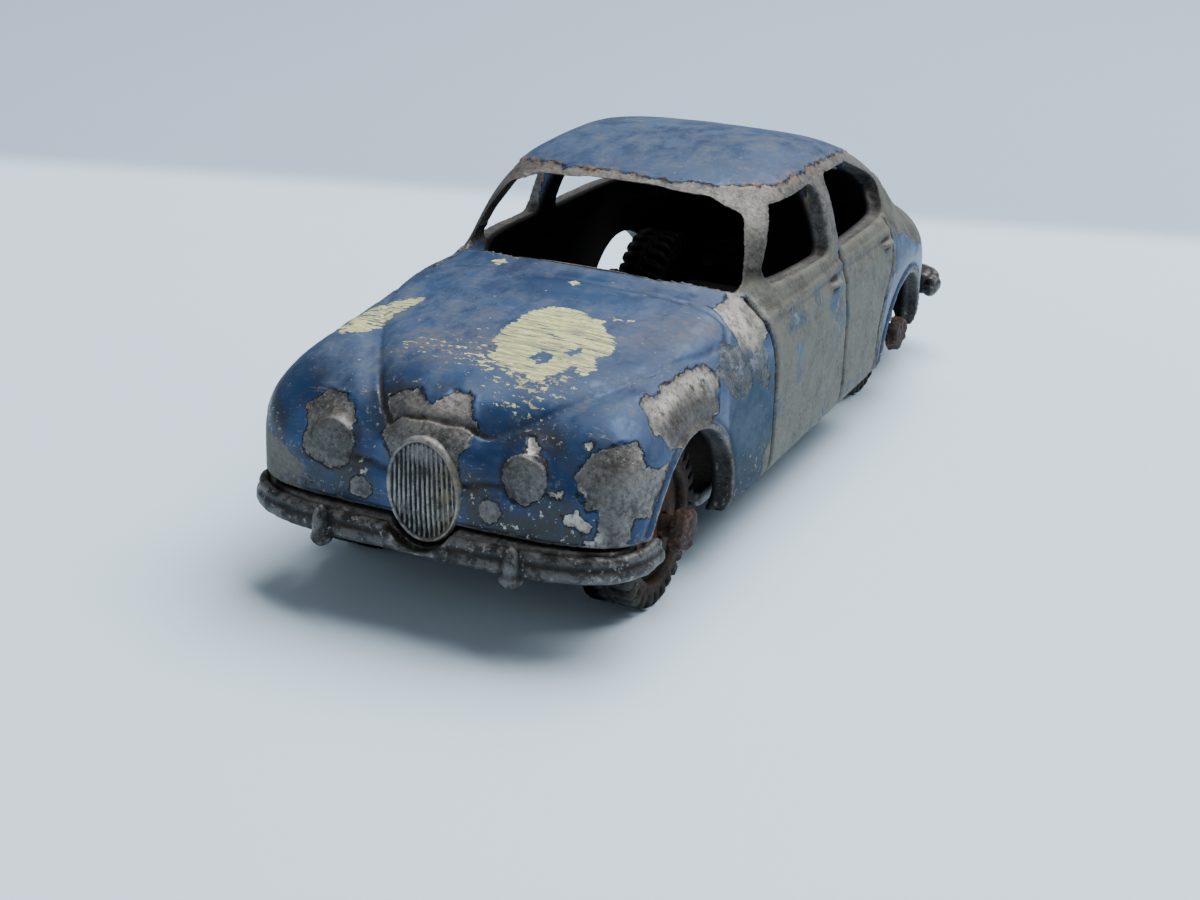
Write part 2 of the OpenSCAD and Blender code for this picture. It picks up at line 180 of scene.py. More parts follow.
# ---- Signed-distance fields ----
class Grid:
    """A regular grid of points. A field on it is negative inside the material."""

    def __init__(self, low, high, step):
        self.step = step
        ends = [(math.floor(a / step), math.ceil(b / step) + 1) for a, b in zip(low, high)]
        axes = [np.arange(a, b) * step for a, b in ends]
        self.low = np.array([a[0] for a in axes])
        self.shape = tuple(len(a) for a in axes)
        self.x = axes[0].astype(np.float32)[:, None, None]
        self.y = axes[1].astype(np.float32)[None, :, None]
        self.z = axes[2].astype(np.float32)[None, None, :]

    def from_skin(self, points, quads, tris, band):
        """Distances to a closed skin, true within band of it."""
        local = ((points - self.low) / self.step).astype(np.float32)
        faces = {"triangles": tris.astype(np.uint32), "quads": quads.astype(np.uint32)}
        made = openvdb.FloatGrid.createLevelSetFromPolygons(local, halfWidth=band / self.step, **faces)
        out = np.empty(self.shape, np.float32)
        made.copyToArray(out)
        return out * np.float32(self.step)

    def sample(self, field, points):
        """The field's value at points, from the eight nearest grid points."""
        q = (points - self.low) / self.step
        cell = np.clip(np.floor(q).astype(int), 0, np.array(self.shape) - 2)
        t = clamped(q - cell)
        total = 0
        for corner in range(8):
            d = np.array([corner & 1, corner >> 1 & 1, corner >> 2 & 1])
            i, j, k = (cell + d).T
            total = total + np.prod(np.where(d, t, 1 - t), axis=1) * field[i, j, k]
        return total

    def surface(self, field, adaptivity=0.0):
        """Points and faces of the zero surface."""
        made = openvdb.FloatGrid(1.0)
        whole = np.ascontiguousarray(np.broadcast_to(field, self.shape), np.float32)
        made.copyFromArray(whole / self.step)
        points, tris, quads = made.convertToPolygons(0.0, adaptivity)
        return points * self.step + self.low, tris.astype(np.int64), quads.astype(np.int64)


def polygon_distance(u, v, points):
    """Signed distance in the plane to a closed outline, negative inside."""
    closed = [*points, points[0]]
    inside = np.zeros(np.broadcast(u, v).shape, bool)
    for (x0, y0), (x1, y1) in zip(closed, closed[1:]):
        if y0 != y1:
            inside ^= ((y0 > v) != (y1 > v)) & (u < x0 + (x1 - x0) * (v - y0) / (y1 - y0))
    return np.where(inside, -1, 1) * line_distance(u, v, closed)


def line_distance(u, v, points):
    """Distance in the plane to an open run of straight segments."""
    best = 1e9
    for (x0, y0), (x1, y1) in zip(points, points[1:]):
        dx, dy = x1 - x0, y1 - y0
        t = clamped(((u - x0) * dx + (v - y0) * dy) / (dx * dx + dy * dy))
        best = np.minimum(best, (u - x0 - t * dx) ** 2 + (v - y0 - t * dy) ** 2)
    return np.sqrt(best)


def inset(points, r):
    """A convex outline given clockwise or anticlockwise, moved in by r at every edge."""
    pts = np.array(points, float)
    area = sum(a[0] * b[1] - a[1] * b[0] for a, b in zip(pts, np.roll(pts, -1, 0)))
    lines = []
    for a, b in zip(pts, np.roll(pts, -1, 0)):
        n = np.array([b[1] - a[1], a[0] - b[0]]) * (1 if area > 0 else -1)
        n /= np.linalg.norm(n)
        lines.append((n, n @ a - r))
    out = []
    for (n0, c0), (n1, c1) in zip(lines[-1:] + lines[:-1], lines):
        out.append(tuple(np.linalg.solve(np.array([n0, n1]), np.array([c0, c1]))))
    return out


def rounded_window(u, v, points, r):
    """Signed distance to a convex outline with its corners rounded to r."""
    return polygon_distance(u, v, inset(points, r)) - r


def ball(g, centre, radii):
    """Approximate distance to an ellipsoid."""
    px, py, pz = (a - c for a, c in zip((g.x, g.y, g.z), centre))
    rx, ry, rz = radii
    k0 = np.sqrt((px / rx) ** 2 + (py / ry) ** 2 + (pz / rz) ** 2)
    k1 = np.sqrt((px / rx**2) ** 2 + (py / ry**2) ** 2 + (pz / rz**2) ** 2)
    return k0 * (k0 - 1) / np.maximum(k1, 1e-4)


def rod(g, axis, centre, r):
    """Distance to an endless rod along an axis through a centre."""
    pairs = {"x": (g.y, g.z), "y": (g.x, g.z), "z": (g.x, g.y)}
    a, b = pairs[axis]
    return np.hypot(a - centre[0], b - centre[1]) - r


def slab(coordinate, low, high):
    """Distance to the space between two planes."""
    return np.maximum(low - coordinate, coordinate - high)


# ---- The body casting ----
SIDE_WINDOWS = (
    (((-8.0, 13.8), (-4.3, 17.4), (1.8, 17.5), (1.4, 13.5)), 0.6),
    (((3.3, 13.4), (3.7, 17.6), (8.6, 17.35), (14.3, 15.2), (13.2, 13.3)), 0.7),
)
WINDSCREEN = (
    (-8.5, 13.4), (-7.95, 15.6), (-7.25, 17.2), (-5.2, 17.9), (-1.5, 18.1), (1.5, 18.1), (5.2, 17.9),
    (7.25, 17.2), (7.95, 15.6), (8.5, 13.4),
)
REAR_WINDOW = ((-5.8, 14.6), (-4.9, 17.3), (4.9, 17.3), (5.8, 14.6))
BONNET_SIDE = [
    (0.8, -28.6), (2.9, -28.1), (4.9, -27.1), (6.2, -25.8), (7.3, -24.2), (8.5, -21.2), (9.5, -17.4),
    (9.9, -14.6), (9.4, -13.6), (7, -13.2),
]
BONNET_RIGHT = [
    (-7, -13.2), (-9.4, -13.6), (-9.7, -14.8), (-8.8, -17.4), (-7.4, -20.6), (-6, -23.3), (-5, -25.1),
    (-4.1, -26.5), (-3.3, -27.6), (-2.5, -28.35), (-0.8, -28.6),
]
BONNET = BONNET_SIDE + BONNET_RIGHT
BOOT_SIDE = [(5.6, 19.6), (5.9, 21.5), (5.5, 24.6), (4.6, 27.0), (3.0, 28.6)]
BOOT = BOOT_SIDE + [(-x, y) for x, y in reversed(BOOT_SIDE)]
GROOVE = 0.15
FRONT_DOOR_Y, REAR_DOOR_Y = -9.5, 2.9
HANDLE_Y = (0.9, 11.2)
REAR_DOOR_EDGE = [(12.7, 13.2), (12.9, 12.0), (12.3, 10.4), (10.9, 8.6), (9.9, 6.6), (9.6, 3.0)]


def body_field(g):
    """The whole body casting, with its panel lines, lamps, handles and posts."""
    hull, roof = (g.from_skin(*skin_of(0), band=1.6) for skin_of in (lower_skin, roof_skin))
    inside = (g.from_skin(*skin_of(WALL), band=1.0) for skin_of in (lower_skin, roof_skin))
    cavity = np.minimum(*inside)
    f = blend_min(hull, roof, 0.9)
    x, y, z = g.x, g.y, g.z
    ax = np.abs(x)
    on_side = eased((ax - 6.5) / 1.5)

    # Bonnet and boot outlines, with the valley between the bonnet and each wing
    bonnet = polygon_distance(x, y, BONNET)
    above = eased(z - 9.5)
    f += (0.1 + 0.1 * eased((-25.5 - y) / 1.5)) * bell(bonnet, 0.12) * above
    valley = bell(bonnet - 0.25, 0.75) * eased((-19 - y) / 5) * eased((ax - 1.6) / 1.2)
    f += 0.3 * valley * above
    f += 0.2 * bell(polygon_distance(x, y, BOOT), GROOVE) * eased((z - 8.5) / 0.8) * (y > 18)

    # Door lines, handles, the ridge under the windows and the bead round each arch
    front_edge = bell(y - FRONT_DOOR_Y, GROOVE) * eased((13.7 - z) / 0.4)
    middle_edge = bell(y - REAR_DOOR_Y, GROOVE) * eased((13.5 - z) / 0.3)
    f += 0.26 * (front_edge + middle_edge) * on_side
    f += 0.2 * bell(line_distance(y, z, REAR_DOOR_EDGE), GROOVE) * on_side
    waist = 12.75 - 0.012 * np.abs(y - 2) ** 1.25
    f -= 0.13 * bell(z - waist, 0.2) * on_side * eased((14.5 - y) / 3) * eased((y + 12) / 4)
    for ya in HANDLE_Y:
        for side in (1, -1):
            f = blend_min(f, ball(g, (side * 10.62, ya, 11.95), (0.55, 0.95, 0.24)), 0.15)
    for ya, za, r in (FRONT_ARCH, REAR_ARCH):
        rim = np.hypot(y - ya, z - za) - r
        f -= (0.12 * bell(rim - 0.3, 0.2) - 0.06 * bell(rim - 0.72, 0.16)) * on_side

    # Lamps in pods that run back into the wings, and fog lamps beside the grille
    for side in (-1, 1):
        f = blend_min(f, ball(g, (side * LAMP_X, -27.0, LAMP_Z), (1.6, 2.3, 1.65)), 0.55)
        across = rod(g, "y", (side * LAMP_X, LAMP_Z), 0)
        barrel = blend_max(across - LAMP_R - 0.03, np.maximum(-29.15 - y, y + 26.5), 0.4)
        lens = ball(g, (side * LAMP_X, -29.05, LAMP_Z), (1.2, 0.3, 1.2))
        f = blend_min(f, blend_min(barrel, lens, 0.1), 0.12)
        across = rod(g, "y", (side * FOG_X, FOG_Z), 0)
        barrel = blend_max(across - FOG_R, np.maximum(-29.42 - y, y + 27.5), 0.3)
        f = blend_min(f, barrel, 0.25)

    # Rear lamps and a blank plate panel
    for side in (-1, 1):
        f = blend_min(f, ball(g, (side * 6.75, 26.55, 9.3), (0.5, 0.75, 0.95)), 0.3)
    panel = blend_max(blend_max(slab(x, -2.7, 2.7), slab(z, 7.9, 9.6), 0.2), slab(y, 27.5, 29.35), 0.15)
    f = blend_min(f, panel, 0.25)

    # The hollow inside, the lower edges, the windows and the arches
    f = blend_max(f, -cavity, 0.15)
    f = blend_max(f, SILL_Z - z, 0.25)
    f = blend_max(f, -np.maximum(z - APRON_Z, APRON_START - np.abs(y)), 0.2)
    for outline, r in SIDE_WINDOWS:
        f = blend_max(f, -rounded_window(y, z, outline, r), 0.3)
    screens = np.minimum(
        np.maximum(rounded_window(x, z, WINDSCREEN, 0.8), slab(y, -16, -3)),
        np.maximum(rounded_window(x, z, REAR_WINDOW, 0.9), slab(y, 7, 24)),
    )
    f = blend_max(f, -np.maximum(screens, roof - 0.1), 0.3)
    for ya, za, r in (FRONT_ARCH, REAR_ARCH):
        f = blend_max(f, -rod(g, "x", (ya, za), r), 0.18)

    # Posts spun out into countersinks in the baseplate
    for yp, top in POSTS:
        post = np.maximum(rod(g, "z", (0, yp), 1.7), slab(z, PLATE_TOP_Z + 0.05, top))
        neck = np.maximum(rod(g, "z", (0, yp), 1.0), slab(z, PLATE_Z, PLATE_TOP_Z + 0.2))
        cone = np.maximum(0.7 * (rod(g, "z", (0, yp), 0) + z - PLATE_Z) - 1.12, slab(z, PLATE_Z, 4))
        f = np.minimum(f, np.minimum(post, np.minimum(neck, cone)))
    return f, cavity


def new_mesh(name, points, quads, tris):
    """A smooth-shaded mesh object from points in millimetres."""
    me = bpy.data.meshes.new(name)
    me.vertices.add(len(points))
    me.vertices.foreach_set("co", (np.asarray(points, float) * MM).astype(np.float32).ravel())
    me.loops.add(4 * len(quads) + 3 * len(tris))
    me.loops.foreach_set("vertex_index", np.concatenate([quads.ravel(), tris.ravel()]).astype(np.int32))
    me.polygons.add(len(quads) + len(tris))
    starts = np.concatenate([4 * np.arange(len(quads)), 4 * len(quads) + 3 * np.arange(len(tris))])
    me.polygons.foreach_set("loop_start", starts.astype(np.int32))
    me.update(calc_edges=True)
    me.shade_smooth()
    ob = bpy.data.objects.new(name, me)
    bpy.context.scene.collection.objects.link(ob)
    return ob


def volume_sign(points, quads):
    """Above 0 where the faces look outwards."""
    a, b, c, d = (points[quads[:, k]] for k in range(4))
    return (a * (np.cross(b, c) + np.cross(c, d))).sum()


def object_from_field(name, g, field, adaptivity=0.0):
    points, tris, quads = g.surface(field, adaptivity)
    if volume_sign(points, quads) < 0:
        quads, tris = quads[:, ::-1], tris[:, ::-1]
    return new_mesh(name, points, quads, tris)


# ---- Grille: its own fine grid ----
GRILLE_CENTRE = (0.0, NOSE_Y + 0.05, 7.6)
GRILLE_LEAN = math.radians(3)
GRILLE_HALF_WIDTH, GRILLE_HALF_HEIGHT = 2.1, 2.85
RIB_PITCH = 0.27


def grille_field(g):
    """An oval with a rolled rim and fine upright ribs, on an axis that leans slightly."""
    dy, dz = g.y - GRILLE_CENTRE[1], g.z - GRILLE_CENTRE[2]
    up = dz * math.cos(GRILLE_LEAN) - dy * math.sin(GRILLE_LEAN)
    out = -dy * math.cos(GRILLE_LEAN) - dz * math.sin(GRILLE_LEAN)
    oval = np.sqrt((g.x / GRILLE_HALF_WIDTH) ** 2 + (up / GRILLE_HALF_HEIGHT) ** 2)
    taller = (GRILLE_HALF_HEIGHT - GRILLE_HALF_WIDTH) * clamped(np.abs(up) / 2.8)
    edge = (oval - 1) * (GRILLE_HALF_WIDTH + taller)
    rim = 0.24 * bell(edge + 0.17, 0.15)
    spread = g.x * (1 + 0.02 * up)
    ribs = 0.09 * np.cos(2 * np.pi * spread / RIB_PITCH) * eased((-edge - 0.28) / 0.15)
    belly = 0.16 * (1 - clamped(oval) ** 2)
    height = -0.08 + rim + ribs + belly
    return blend_max(edge, np.maximum(out - height, -1.5 - out), 0.08)


def grille_gap(g):
    """Below 0 inside the oval gap that the baseplate leaves round the grille."""
    return np.sqrt((g.x / 2.26) ** 2 + ((g.z - GRILLE_CENTRE[2]) / 3.0) ** 2) - 1


# ---- Baseplate: floor, bumpers and their webs ----
# A bumper is its end of the car, half its width, how far it wraps round, and how far it stands off
FRONT_BUMPER = (-1, 11.25, 5.2, 1.0)
REAR_BUMPER = (1, 10.4, 4.4, 1.0)
LOWER_ROLL_Z, UPPER_ROLL_Z, OVERRIDER_X = 4.86, 5.47, 5.35
TUNNEL_HALF, TUNNEL_TOP_Z, TUNNEL_BORE = 5.1, 5.6, 0.68
PANEL = [(-4.4, -12.2), (4.4, -12.2), (4.4, 7.6), (-4.4, 7.6)]
RAIL = [(-7.9, -12.2), (-5.6, -12.2), (-5.6, 7.6), (-7.9, 7.6)]


def bumper_line(bumper, t, count=15):
    """Points along a bumper in plan, from tip to tip, moved out by t."""
    end, half, wrap, stand_off = bumper
    a = 0.5 * np.pi * np.arange(-count, count + 1) / count
    q = 2 / 3.4
    face = end * (TAIL_Y + stand_off)
    x = (half + t) * signed_pow(np.sin(a), q)
    reach = (wrap + t) * np.abs(np.cos(a)) ** q
    return [(float(px), float(py)) for px, py in zip(x, face + end * (reach - wrap))]


def bumper_field(g, bumper):
    """A double-ridged bar: a broad lower roll, a groove and a narrow upper roll, with overriders."""
    end = bumper[0]
    x, y = g.x[:, :, 0], g.y[:, :, 0]
    mid = line_distance(x, y, bumper_line(bumper, -0.52, 40))[:, :, None]
    high = line_distance(x, y, bumper_line(bumper, -0.5, 40))[:, :, None]
    lower_roll = np.hypot(mid, g.z - LOWER_ROLL_Z) - 0.5
    upper_roll = np.hypot(high, g.z - UPPER_ROLL_Z) - 0.31
    core = np.maximum(mid - 0.3, slab(g.z, 4.6, 5.5))
    f = blend_min(blend_min(lower_roll, upper_roll, 0.12), core, 0.1)
    face = end * (TAIL_Y + bumper[3])
    for side in (-1, 1):
        grip = ball(g, (side * OVERRIDER_X, face - end * 0.12, 5.02), (0.44, 0.46, 1.12))
        foot = ball(g, (side * OVERRIDER_X, face - end * 0.1, 4.32), (0.6, 0.5, 0.32))
        f = blend_min(f, blend_min(grip, foot, 0.25), 0.18)
    if end < 0:
        f = blend_max(f, -2.4 * grille_gap(g), 0.12)
    return f


def web_field(g, bumper):
    """The flat web behind a bumper, and the step down to the floor."""
    end = bumper[0]
    inner = end * (TAIL_Y - 3.6)
    line = [p for p in bumper_line(bumper, -0.75) if abs(p[1]) > abs(inner)]
    in_plan = polygon_distance(g.x[:, :, 0], g.y[:, :, 0], line)[:, :, None]
    web = np.maximum(in_plan, slab(g.z, 4.4, 5.9))
    middle = end * (TAIL_Y - 3.1)
    block = np.maximum(np.abs(g.x) - 7.7, np.abs(g.y - middle) - 0.5)
    step = np.maximum(block, slab(g.z, PLATE_Z, 5.1))
    return blend_min(web, step, 0.3)


def floor_field(g):
    """The floor with its axle tunnels, shallow pressings underneath, webs and countersinks."""
    x, y, z = g.x, g.y, g.z
    ax = np.abs(x)
    inside = plan_half(y, WALL + 0.15) - np.where(y > 21.4, 0.35, np.where(y > -24.5, 0.6, 0.95))
    outline = np.maximum(ax - inside, np.abs(y) - 27.4)
    for ya in (FRONT_AXLE_Y, REAR_AXLE_Y):
        outline = blend_max(outline, -np.maximum(5.3 - ax, np.abs(y - ya) - 5.5), 0.5)
    f = blend_max(outline, slab(z, PLATE_Z, PLATE_TOP_Z), 0.18)
    panel = rounded_window(x[:, :, 0], y[:, :, 0], PANEL, 1.2)[:, :, None]
    rails = rounded_window(-ax[:, :, 0], y[:, :, 0], RAIL, 0.8)[:, :, None]
    spine = ax - 0.8
    recess = np.minimum(np.maximum(panel, -spine), rails)
    f = blend_max(f, -np.maximum(recess, z - PLATE_Z - 0.28), 0.14)
    for ya in (FRONT_AXLE_Y, REAR_AXLE_Y):
        hump = np.maximum(blend_max(np.abs(y - ya) - 1.6, z - TUNNEL_TOP_Z, 0.7), ax - TUNNEL_HALF)
        f = blend_min(f, np.maximum(hump, PLATE_Z - z), 0.25)
    for bumper in (FRONT_BUMPER, REAR_BUMPER):
        f = blend_min(f, web_field(g, bumper), 0.2)
    for ya in (FRONT_AXLE_Y, REAR_AXLE_Y):
        f = np.maximum(f, -rod(g, "x", (ya, AXLE_Z), TUNNEL_BORE))
    for yp, _ in POSTS:
        f = np.maximum(f, -rod(g, "z", (0, yp), 1.06))
        f = np.maximum(f, 1.17 - 0.7 * (rod(g, "z", (0, yp), 0) + z - PLATE_Z))
    return blend_max(f, -np.maximum(grille_gap(g), y + 27.6), 0.1)


# ---- Wheels and axles ----
WHEEL_R, WHEEL_W, KNOBS = 4.5, 3.0, 30
BORE_R, SHAFT_R, HEAD_R = 0.69, 0.6, 1.16
SHAFT_HALF, AXLE_HALF, AXLE_REACH = 10.3, 10.9, 11.0
FRONT_TRACK, REAR_TRACK = 18.6, 17.0


def wheel_field(g):
    """A moulded wheel with its outer face at x = 0 and its body towards -X, centred on the x axis."""
    r = np.hypot(g.y, g.z)
    turn = np.arctan2(g.z, g.y) * KNOBS / (2 * np.pi)
    depth = -g.x
    middle = np.abs(depth - WHEEL_W / 2)
    shoulder = blend_max(r - WHEEL_R, middle - WHEEL_W / 2, 0.45)
    sway = 0.5 * (depth > WHEEL_W / 2) + 0.22 * np.sin(np.pi * depth / WHEEL_W)
    lug = np.abs(np.mod(turn + sway, 1) - 0.5)
    cut = 0.42 * eased((lug - 0.27) / 0.12) * eased((middle - 0.18) / 0.15)
    band = 0.14 * bell(middle, 0.2)
    near_tread = eased((r - 3.55) / 0.35)
    f = shoulder + (cut + band) * near_tread * 0.85
    recess = np.maximum(r - 3.05, np.maximum(1.45 - r, depth - 0.5))
    f = blend_max(f, -recess, 0.25)
    f += 0.07 * bell(r - 3.45, 0.13) * eased((0.6 - depth) / 0.3)
    inner_dish = np.maximum(r - 2.75, (WHEEL_W - 0.3) - depth)
    f = blend_max(f, -inner_dish, 0.2)
    return np.maximum(f, BORE_R - 0.03 - r)


def axle_field(g):
    """An axle along x with its ends upset into thick irregular domes, centred on the x axis."""
    r = np.hypot(g.y, g.z)
    shaft = np.maximum(r - SHAFT_R, np.abs(g.x) - SHAFT_HALF)
    end = AXLE_HALF - np.abs(g.x)
    head = blend_max(blend_max(r - HEAD_R, -end, 0.4), end - 0.86, 0.15)
    return blend_min(shaft, head, 0.12)


# ---- Noise on points ----
# Large odd numbers that scatter the value at each corner of the lattice
HASH_AXES = np.array([73856093, 19349663, 83492791])
HASH_SEED, HASH_FIRST, HASH_SECOND, BITS_32 = 2654435761, 1274126177, 2246822519, 0xFFFFFFFF


def lattice(points, size, seed):
    """Smooth value noise between -1 and 1."""
    q = np.asarray(points, np.float64) / size + 512.37
    cell = np.floor(q).astype(np.int64)
    t = q - cell
    t = t * t * (3 - 2 * t)
    total = np.zeros(len(q))
    for corner in range(8):
        d = np.array([corner & 1, corner >> 1 & 1, corner >> 2 & 1])
        h = ((cell + d) * HASH_AXES).sum(1) + seed * HASH_SEED
        h = (h ^ (h >> 13)) & BITS_32
        h = (h * HASH_FIRST) & BITS_32
        h = (h ^ (h >> 16)) * HASH_SECOND & BITS_32
        weight = np.prod(np.where(d, t, 1 - t), axis=1)
        total += weight * ((h & 0xFFFF) / 32767.5 - 1)
    return total


def rough(points, size, seed, octaves=3):
    """Layered noise: each layer is half the size of the one before."""
    return sum(0.5**k * lattice(points, size * 0.5**k, seed + 17 * k) for k in range(octaves)) / 1.5


def read(items, key, width, kind=np.float32):
    """One property of many Blender items, as rows of width numbers."""
    out = np.empty(len(items) * width, kind)
    items.foreach_get(key, out)
    return out.reshape(-1, width)


def points_of(ob):
    return read(ob.data.vertices, "co", 3).astype(float) / MM


def normals_of(ob):
    return read(ob.data.vertex_normals, "vector", 3).astype(float)


def edges_of(ob):
    return read(ob.data.edges, "vertices", 2, np.int32)


def set_points(ob, points):
    ob.data.vertices.foreach_set("co", (points * MM).astype(np.float32).ravel())
    ob.data.update()


def spread_out(values, edges, rounds):
    """Averages a value at each point with its neighbours."""
    count = np.bincount(edges.ravel(), minlength=len(values))
    for _ in range(rounds):
        a, b = edges[:, 0], edges[:, 1]
        total = np.bincount(a, values[b], len(values)) + np.bincount(b, values[a], len(values))
        values = 0.5 * values + 0.5 * total / np.maximum(count, 1)
    return values


def convexity(points, normals, edges):
    """How sharply the surface turns at each point: above 0 on ridges and below 0 in creases."""
    a, b = edges[:, 0], edges[:, 1]
    step = points[b] - points[a]
    turn = ((normals[b] - normals[a]) * step).sum(1) / np.maximum((step * step).sum(1), 1e-6)
    count = np.maximum(np.bincount(edges.ravel(), minlength=len(points)), 1)
    total = np.bincount(a, turn, len(points)) + np.bincount(b, turn, len(points))
    return spread_out(total / count, edges, 2)


def set_attribute(ob, name, values):
    data = ob.data.attributes.new(name, "FLOAT", "POINT")
    data.data.foreach_set("value", np.asarray(values, np.float32))


# ---- Where the paint has gone ----
def patch(points, normals, outline, depth=3.0):
    """Distance inside a flat outline on the surface: above 0 inside it, where the surface faces it."""
    ring = np.array(outline, float)
    centre = ring.mean(0)
    normal = np.cross(ring - centre, np.roll(ring, -1, 0) - centre).sum(0)
    if normal @ (centre - (0, 0.55 * centre[1], 7)) < 0:
        normal = -normal
    normal /= np.linalg.norm(normal)
    across = np.cross([0.0, 0.0, 1.0], normal)
    if np.linalg.norm(across) < 0.3:
        across = np.cross([0.0, 1.0, 0.0], normal)
    across /= np.linalg.norm(across)
    upward = np.cross(normal, across)
    local = points - centre
    flat = [(float(p @ across), float(p @ upward)) for p in ring - centre]
    near = (np.abs(local @ normal) < depth) & (normals @ normal > 0.15)
    out = np.full(len(points), -9.0)
    out[near] = -polygon_distance(local[near] @ across, local[near] @ upward, flat)
    return out


ABOVE_GRILLE = [
    (-3.1, -27.7, 11.4), (-2.7, -27.7, 11.6), (-2.2, -27.5, 11.8), (-1.4, -27.3, 11.9),
    (-0.5, -27.9, 11.6), (0.1, -27.6, 11.8), (0.5, -26.6, 12.3), (1.1, -27.1, 12.1), (1.8, -28, 11.5),
    (2.1, -28.3, 11), (2.3, -28.9, 10.2), (1.8, -29.2, 9), (1.6, -29.3, 5.9), (-1.6, -29.3, 5.9),
    (-1.9, -29, 9), (-2.8, -28.6, 10.3),
]
RIGHT_POD = [
    (-7, -28.8, 8.7), (-7.1, -28.1, 10.3), (-6.4, -27.6, 11.2), (-5.7, -27.6, 11.3),
    (-4.6, -28.3, 10.7), (-4.2, -28.8, 9.8), (-4.2, -29.1, 8.2), (-5.4, -29, 7.5), (-6.8, -28.8, 7.8),
]
RIGHT_CORNER = [
    (-10.9, -27.2, 9.2), (-9, -28.6, 8.3), (-7.2, -28.8, 7.6), (-5.9, -28.9, 6.6), (-9, -29.1, 5.8),
    (-11, -26.5, 5.8),
]
LEFT_CORNER = [
    (7.9, -28.5, 9.7), (8.2, -28, 10.5), (9, -27.2, 11.1), (9.9, -26.2, 11.1), (10.3, -26.5, 10.1),
    (10.7, -26.3, 9.7), (11, -24.8, 9.4), (11, -25.6, 8.5), (10.9, -26.5, 7.5), (10.4, -27.6, 7.7),
    (10.3, -27.7, 6.4), (9.9, -28, 5.8), (9, -28.6, 5.8), (8.7, -28.6, 6.3), (9.2, -28.6, 7.1),
    (8.9, -28.6, 7.9), (8.2, -28.7, 8.1), (7.9, -28.7, 9.1),
]
LEFT_CREST = [
    (9.3, -24.4, 12.2), (9.5, -21.8, 12.3), (9.4, -19.8, 12.5), (9.7, -17.7, 12.3), (10.2, -17, 11.8),
    (10.9, -17.9, 10.4), (11, -19.4, 9.6), (11, -22.5, 9.7), (10.8, -24.3, 10.1), (10.2, -25, 11.1),
]
LEFT_COWL = [
    (8.2, -12.9, 13.9), (8.5, -10.3, 14), (9.4, -9, 13.4), (10.5, -9.6, 12.2), (10.8, -11.6, 11.2),
    (10.3, -13.6, 12.1), (9.5, -13.4, 13),
]
LEFT_FENDER = [
    (10.3, -17.1, 11.6), (9.8, -15, 12.6), (10.3, -13.9, 12.2), (10.7, -10.7, 11.6), (11.1, -10.7, 9),
    (10.9, -13, 10.3), (10.9, -14.4, 9.6), (10.9, -16, 10.3),
]
LEFT_DOORS = [
    (9.8, -9.4, 14.4), (9.8, 13.6, 14.4), (10.8, 13.3, 11), (11, 11, 8.2), (11, 9.6, 3.3),
    (11, -10.6, 3.3), (11, -10.8, 5.2), (11, -9.6, 6), (11, -9.5, 9),
]
LEFT_TAIL = [
    (9.4, 12.6, 15.4), (9, 18.5, 14.2), (7.4, 24.5, 11.9), (8, 25.4, 9), (10, 20, 9.6), (10.5, 14, 12),
]
RIGHT_DOOR = [
    (-10.2, -6.4, 13.4), (-10.2, 1.9, 13.4), (-11, 2.4, 9.5), (-11, -1.2, 7.4), (-11, -5.6, 8.6),
    (-11, -8.4, 10.6),
]
RIGHT_REAR = [
    (-10.2, 6.4, 13.3), (-9.9, 14.8, 13.2), (-10.6, 13.6, 10.4), (-10.8, 9, 9), (-11, 6.9, 4.4),
    (-11, 4.6, 4.2),
]
RIGHT_CREST = [
    (-9.3, -22.9, 12.3), (-9.6, -18.1, 12.4), (-10.6, -17.4, 11.1), (-11, -19.9, 9.6),
    (-10.8, -23.4, 10.2),
]
TAIL_PATCH = [
    (-4.8, 28.2, 9), (-2.2, 28.4, 10.6), (3.6, 28.3, 10.3), (4.7, 28.5, 8.2), (1, 29.4, 7.1),
    (-4, 29.2, 7),
]
BONNET_CREAM = [
    (0.6, -23.5, 13.1), (-0.3, -21.4, 13.4), (-0.2, -19.3, 13.6), (0.1, -17.9, 13.7),
    (0.8, -17.1, 13.8), (2.2, -16.9, 13.9), (3.4, -17.3, 13.8), (4.7, -18.5, 13.6), (5.6, -19.8, 13.3),
    (5.9, -20.9, 13.2), (5.7, -21.7, 13.1), (6.1, -22.9, 12.9), (5.6, -23.7, 12.9), (5.2, -23.2, 13),
    (4.6, -23.5, 13), (4.3, -24.4, 12.9), (4.1, -25, 12.7), (3.5, -25.1, 12.7), (2.5, -24.6, 12.9),
    (1.7, -24.6, 12.9),
]
CREAM_HOLES = (
    [(2.3, -23.1, 13.1), (2.7, -22.2, 13.2), (3.4, -22.4, 13.2), (3.6, -23.3, 13.1), (3, -23.7, 13)],
    [(3.8, -21.9, 13.3), (4.3, -20.9, 13.3), (4.7, -21.4, 13.2), (4.3, -22, 13.2)],
)
WING_CREAM = [
    (-9.1, -23.3, 12.4), (-9.2, -20.8, 12.6), (-8.6, -19.3, 12.9), (-7.6, -18.3, 13.3),
    (-6.4, -17.9, 13.5), (-6, -18.8, 13.4), (-6.6, -20.4, 13.2), (-6.9, -22, 13), (-7.4, -23, 12.8),
    (-8.2, -23.6, 12.6),
]
COWL_CREAM = (
    [(-5.3, -12.3, 14.3), (-4.6, -11.9, 14.3), (-4.2, -12.4, 14.3), (-4.8, -12.8, 14.3)],
    [(-0.2, -13.6, 14.2), (0.5, -13.2, 14.2), (1, -13.7, 14.2), (0.3, -14.1, 14.2)],
    [(4.1, -16.9, 13.8), (5.4, -16.5, 13.7), (5.5, -16.8, 13.7), (4.3, -17.4, 13.7)],
)
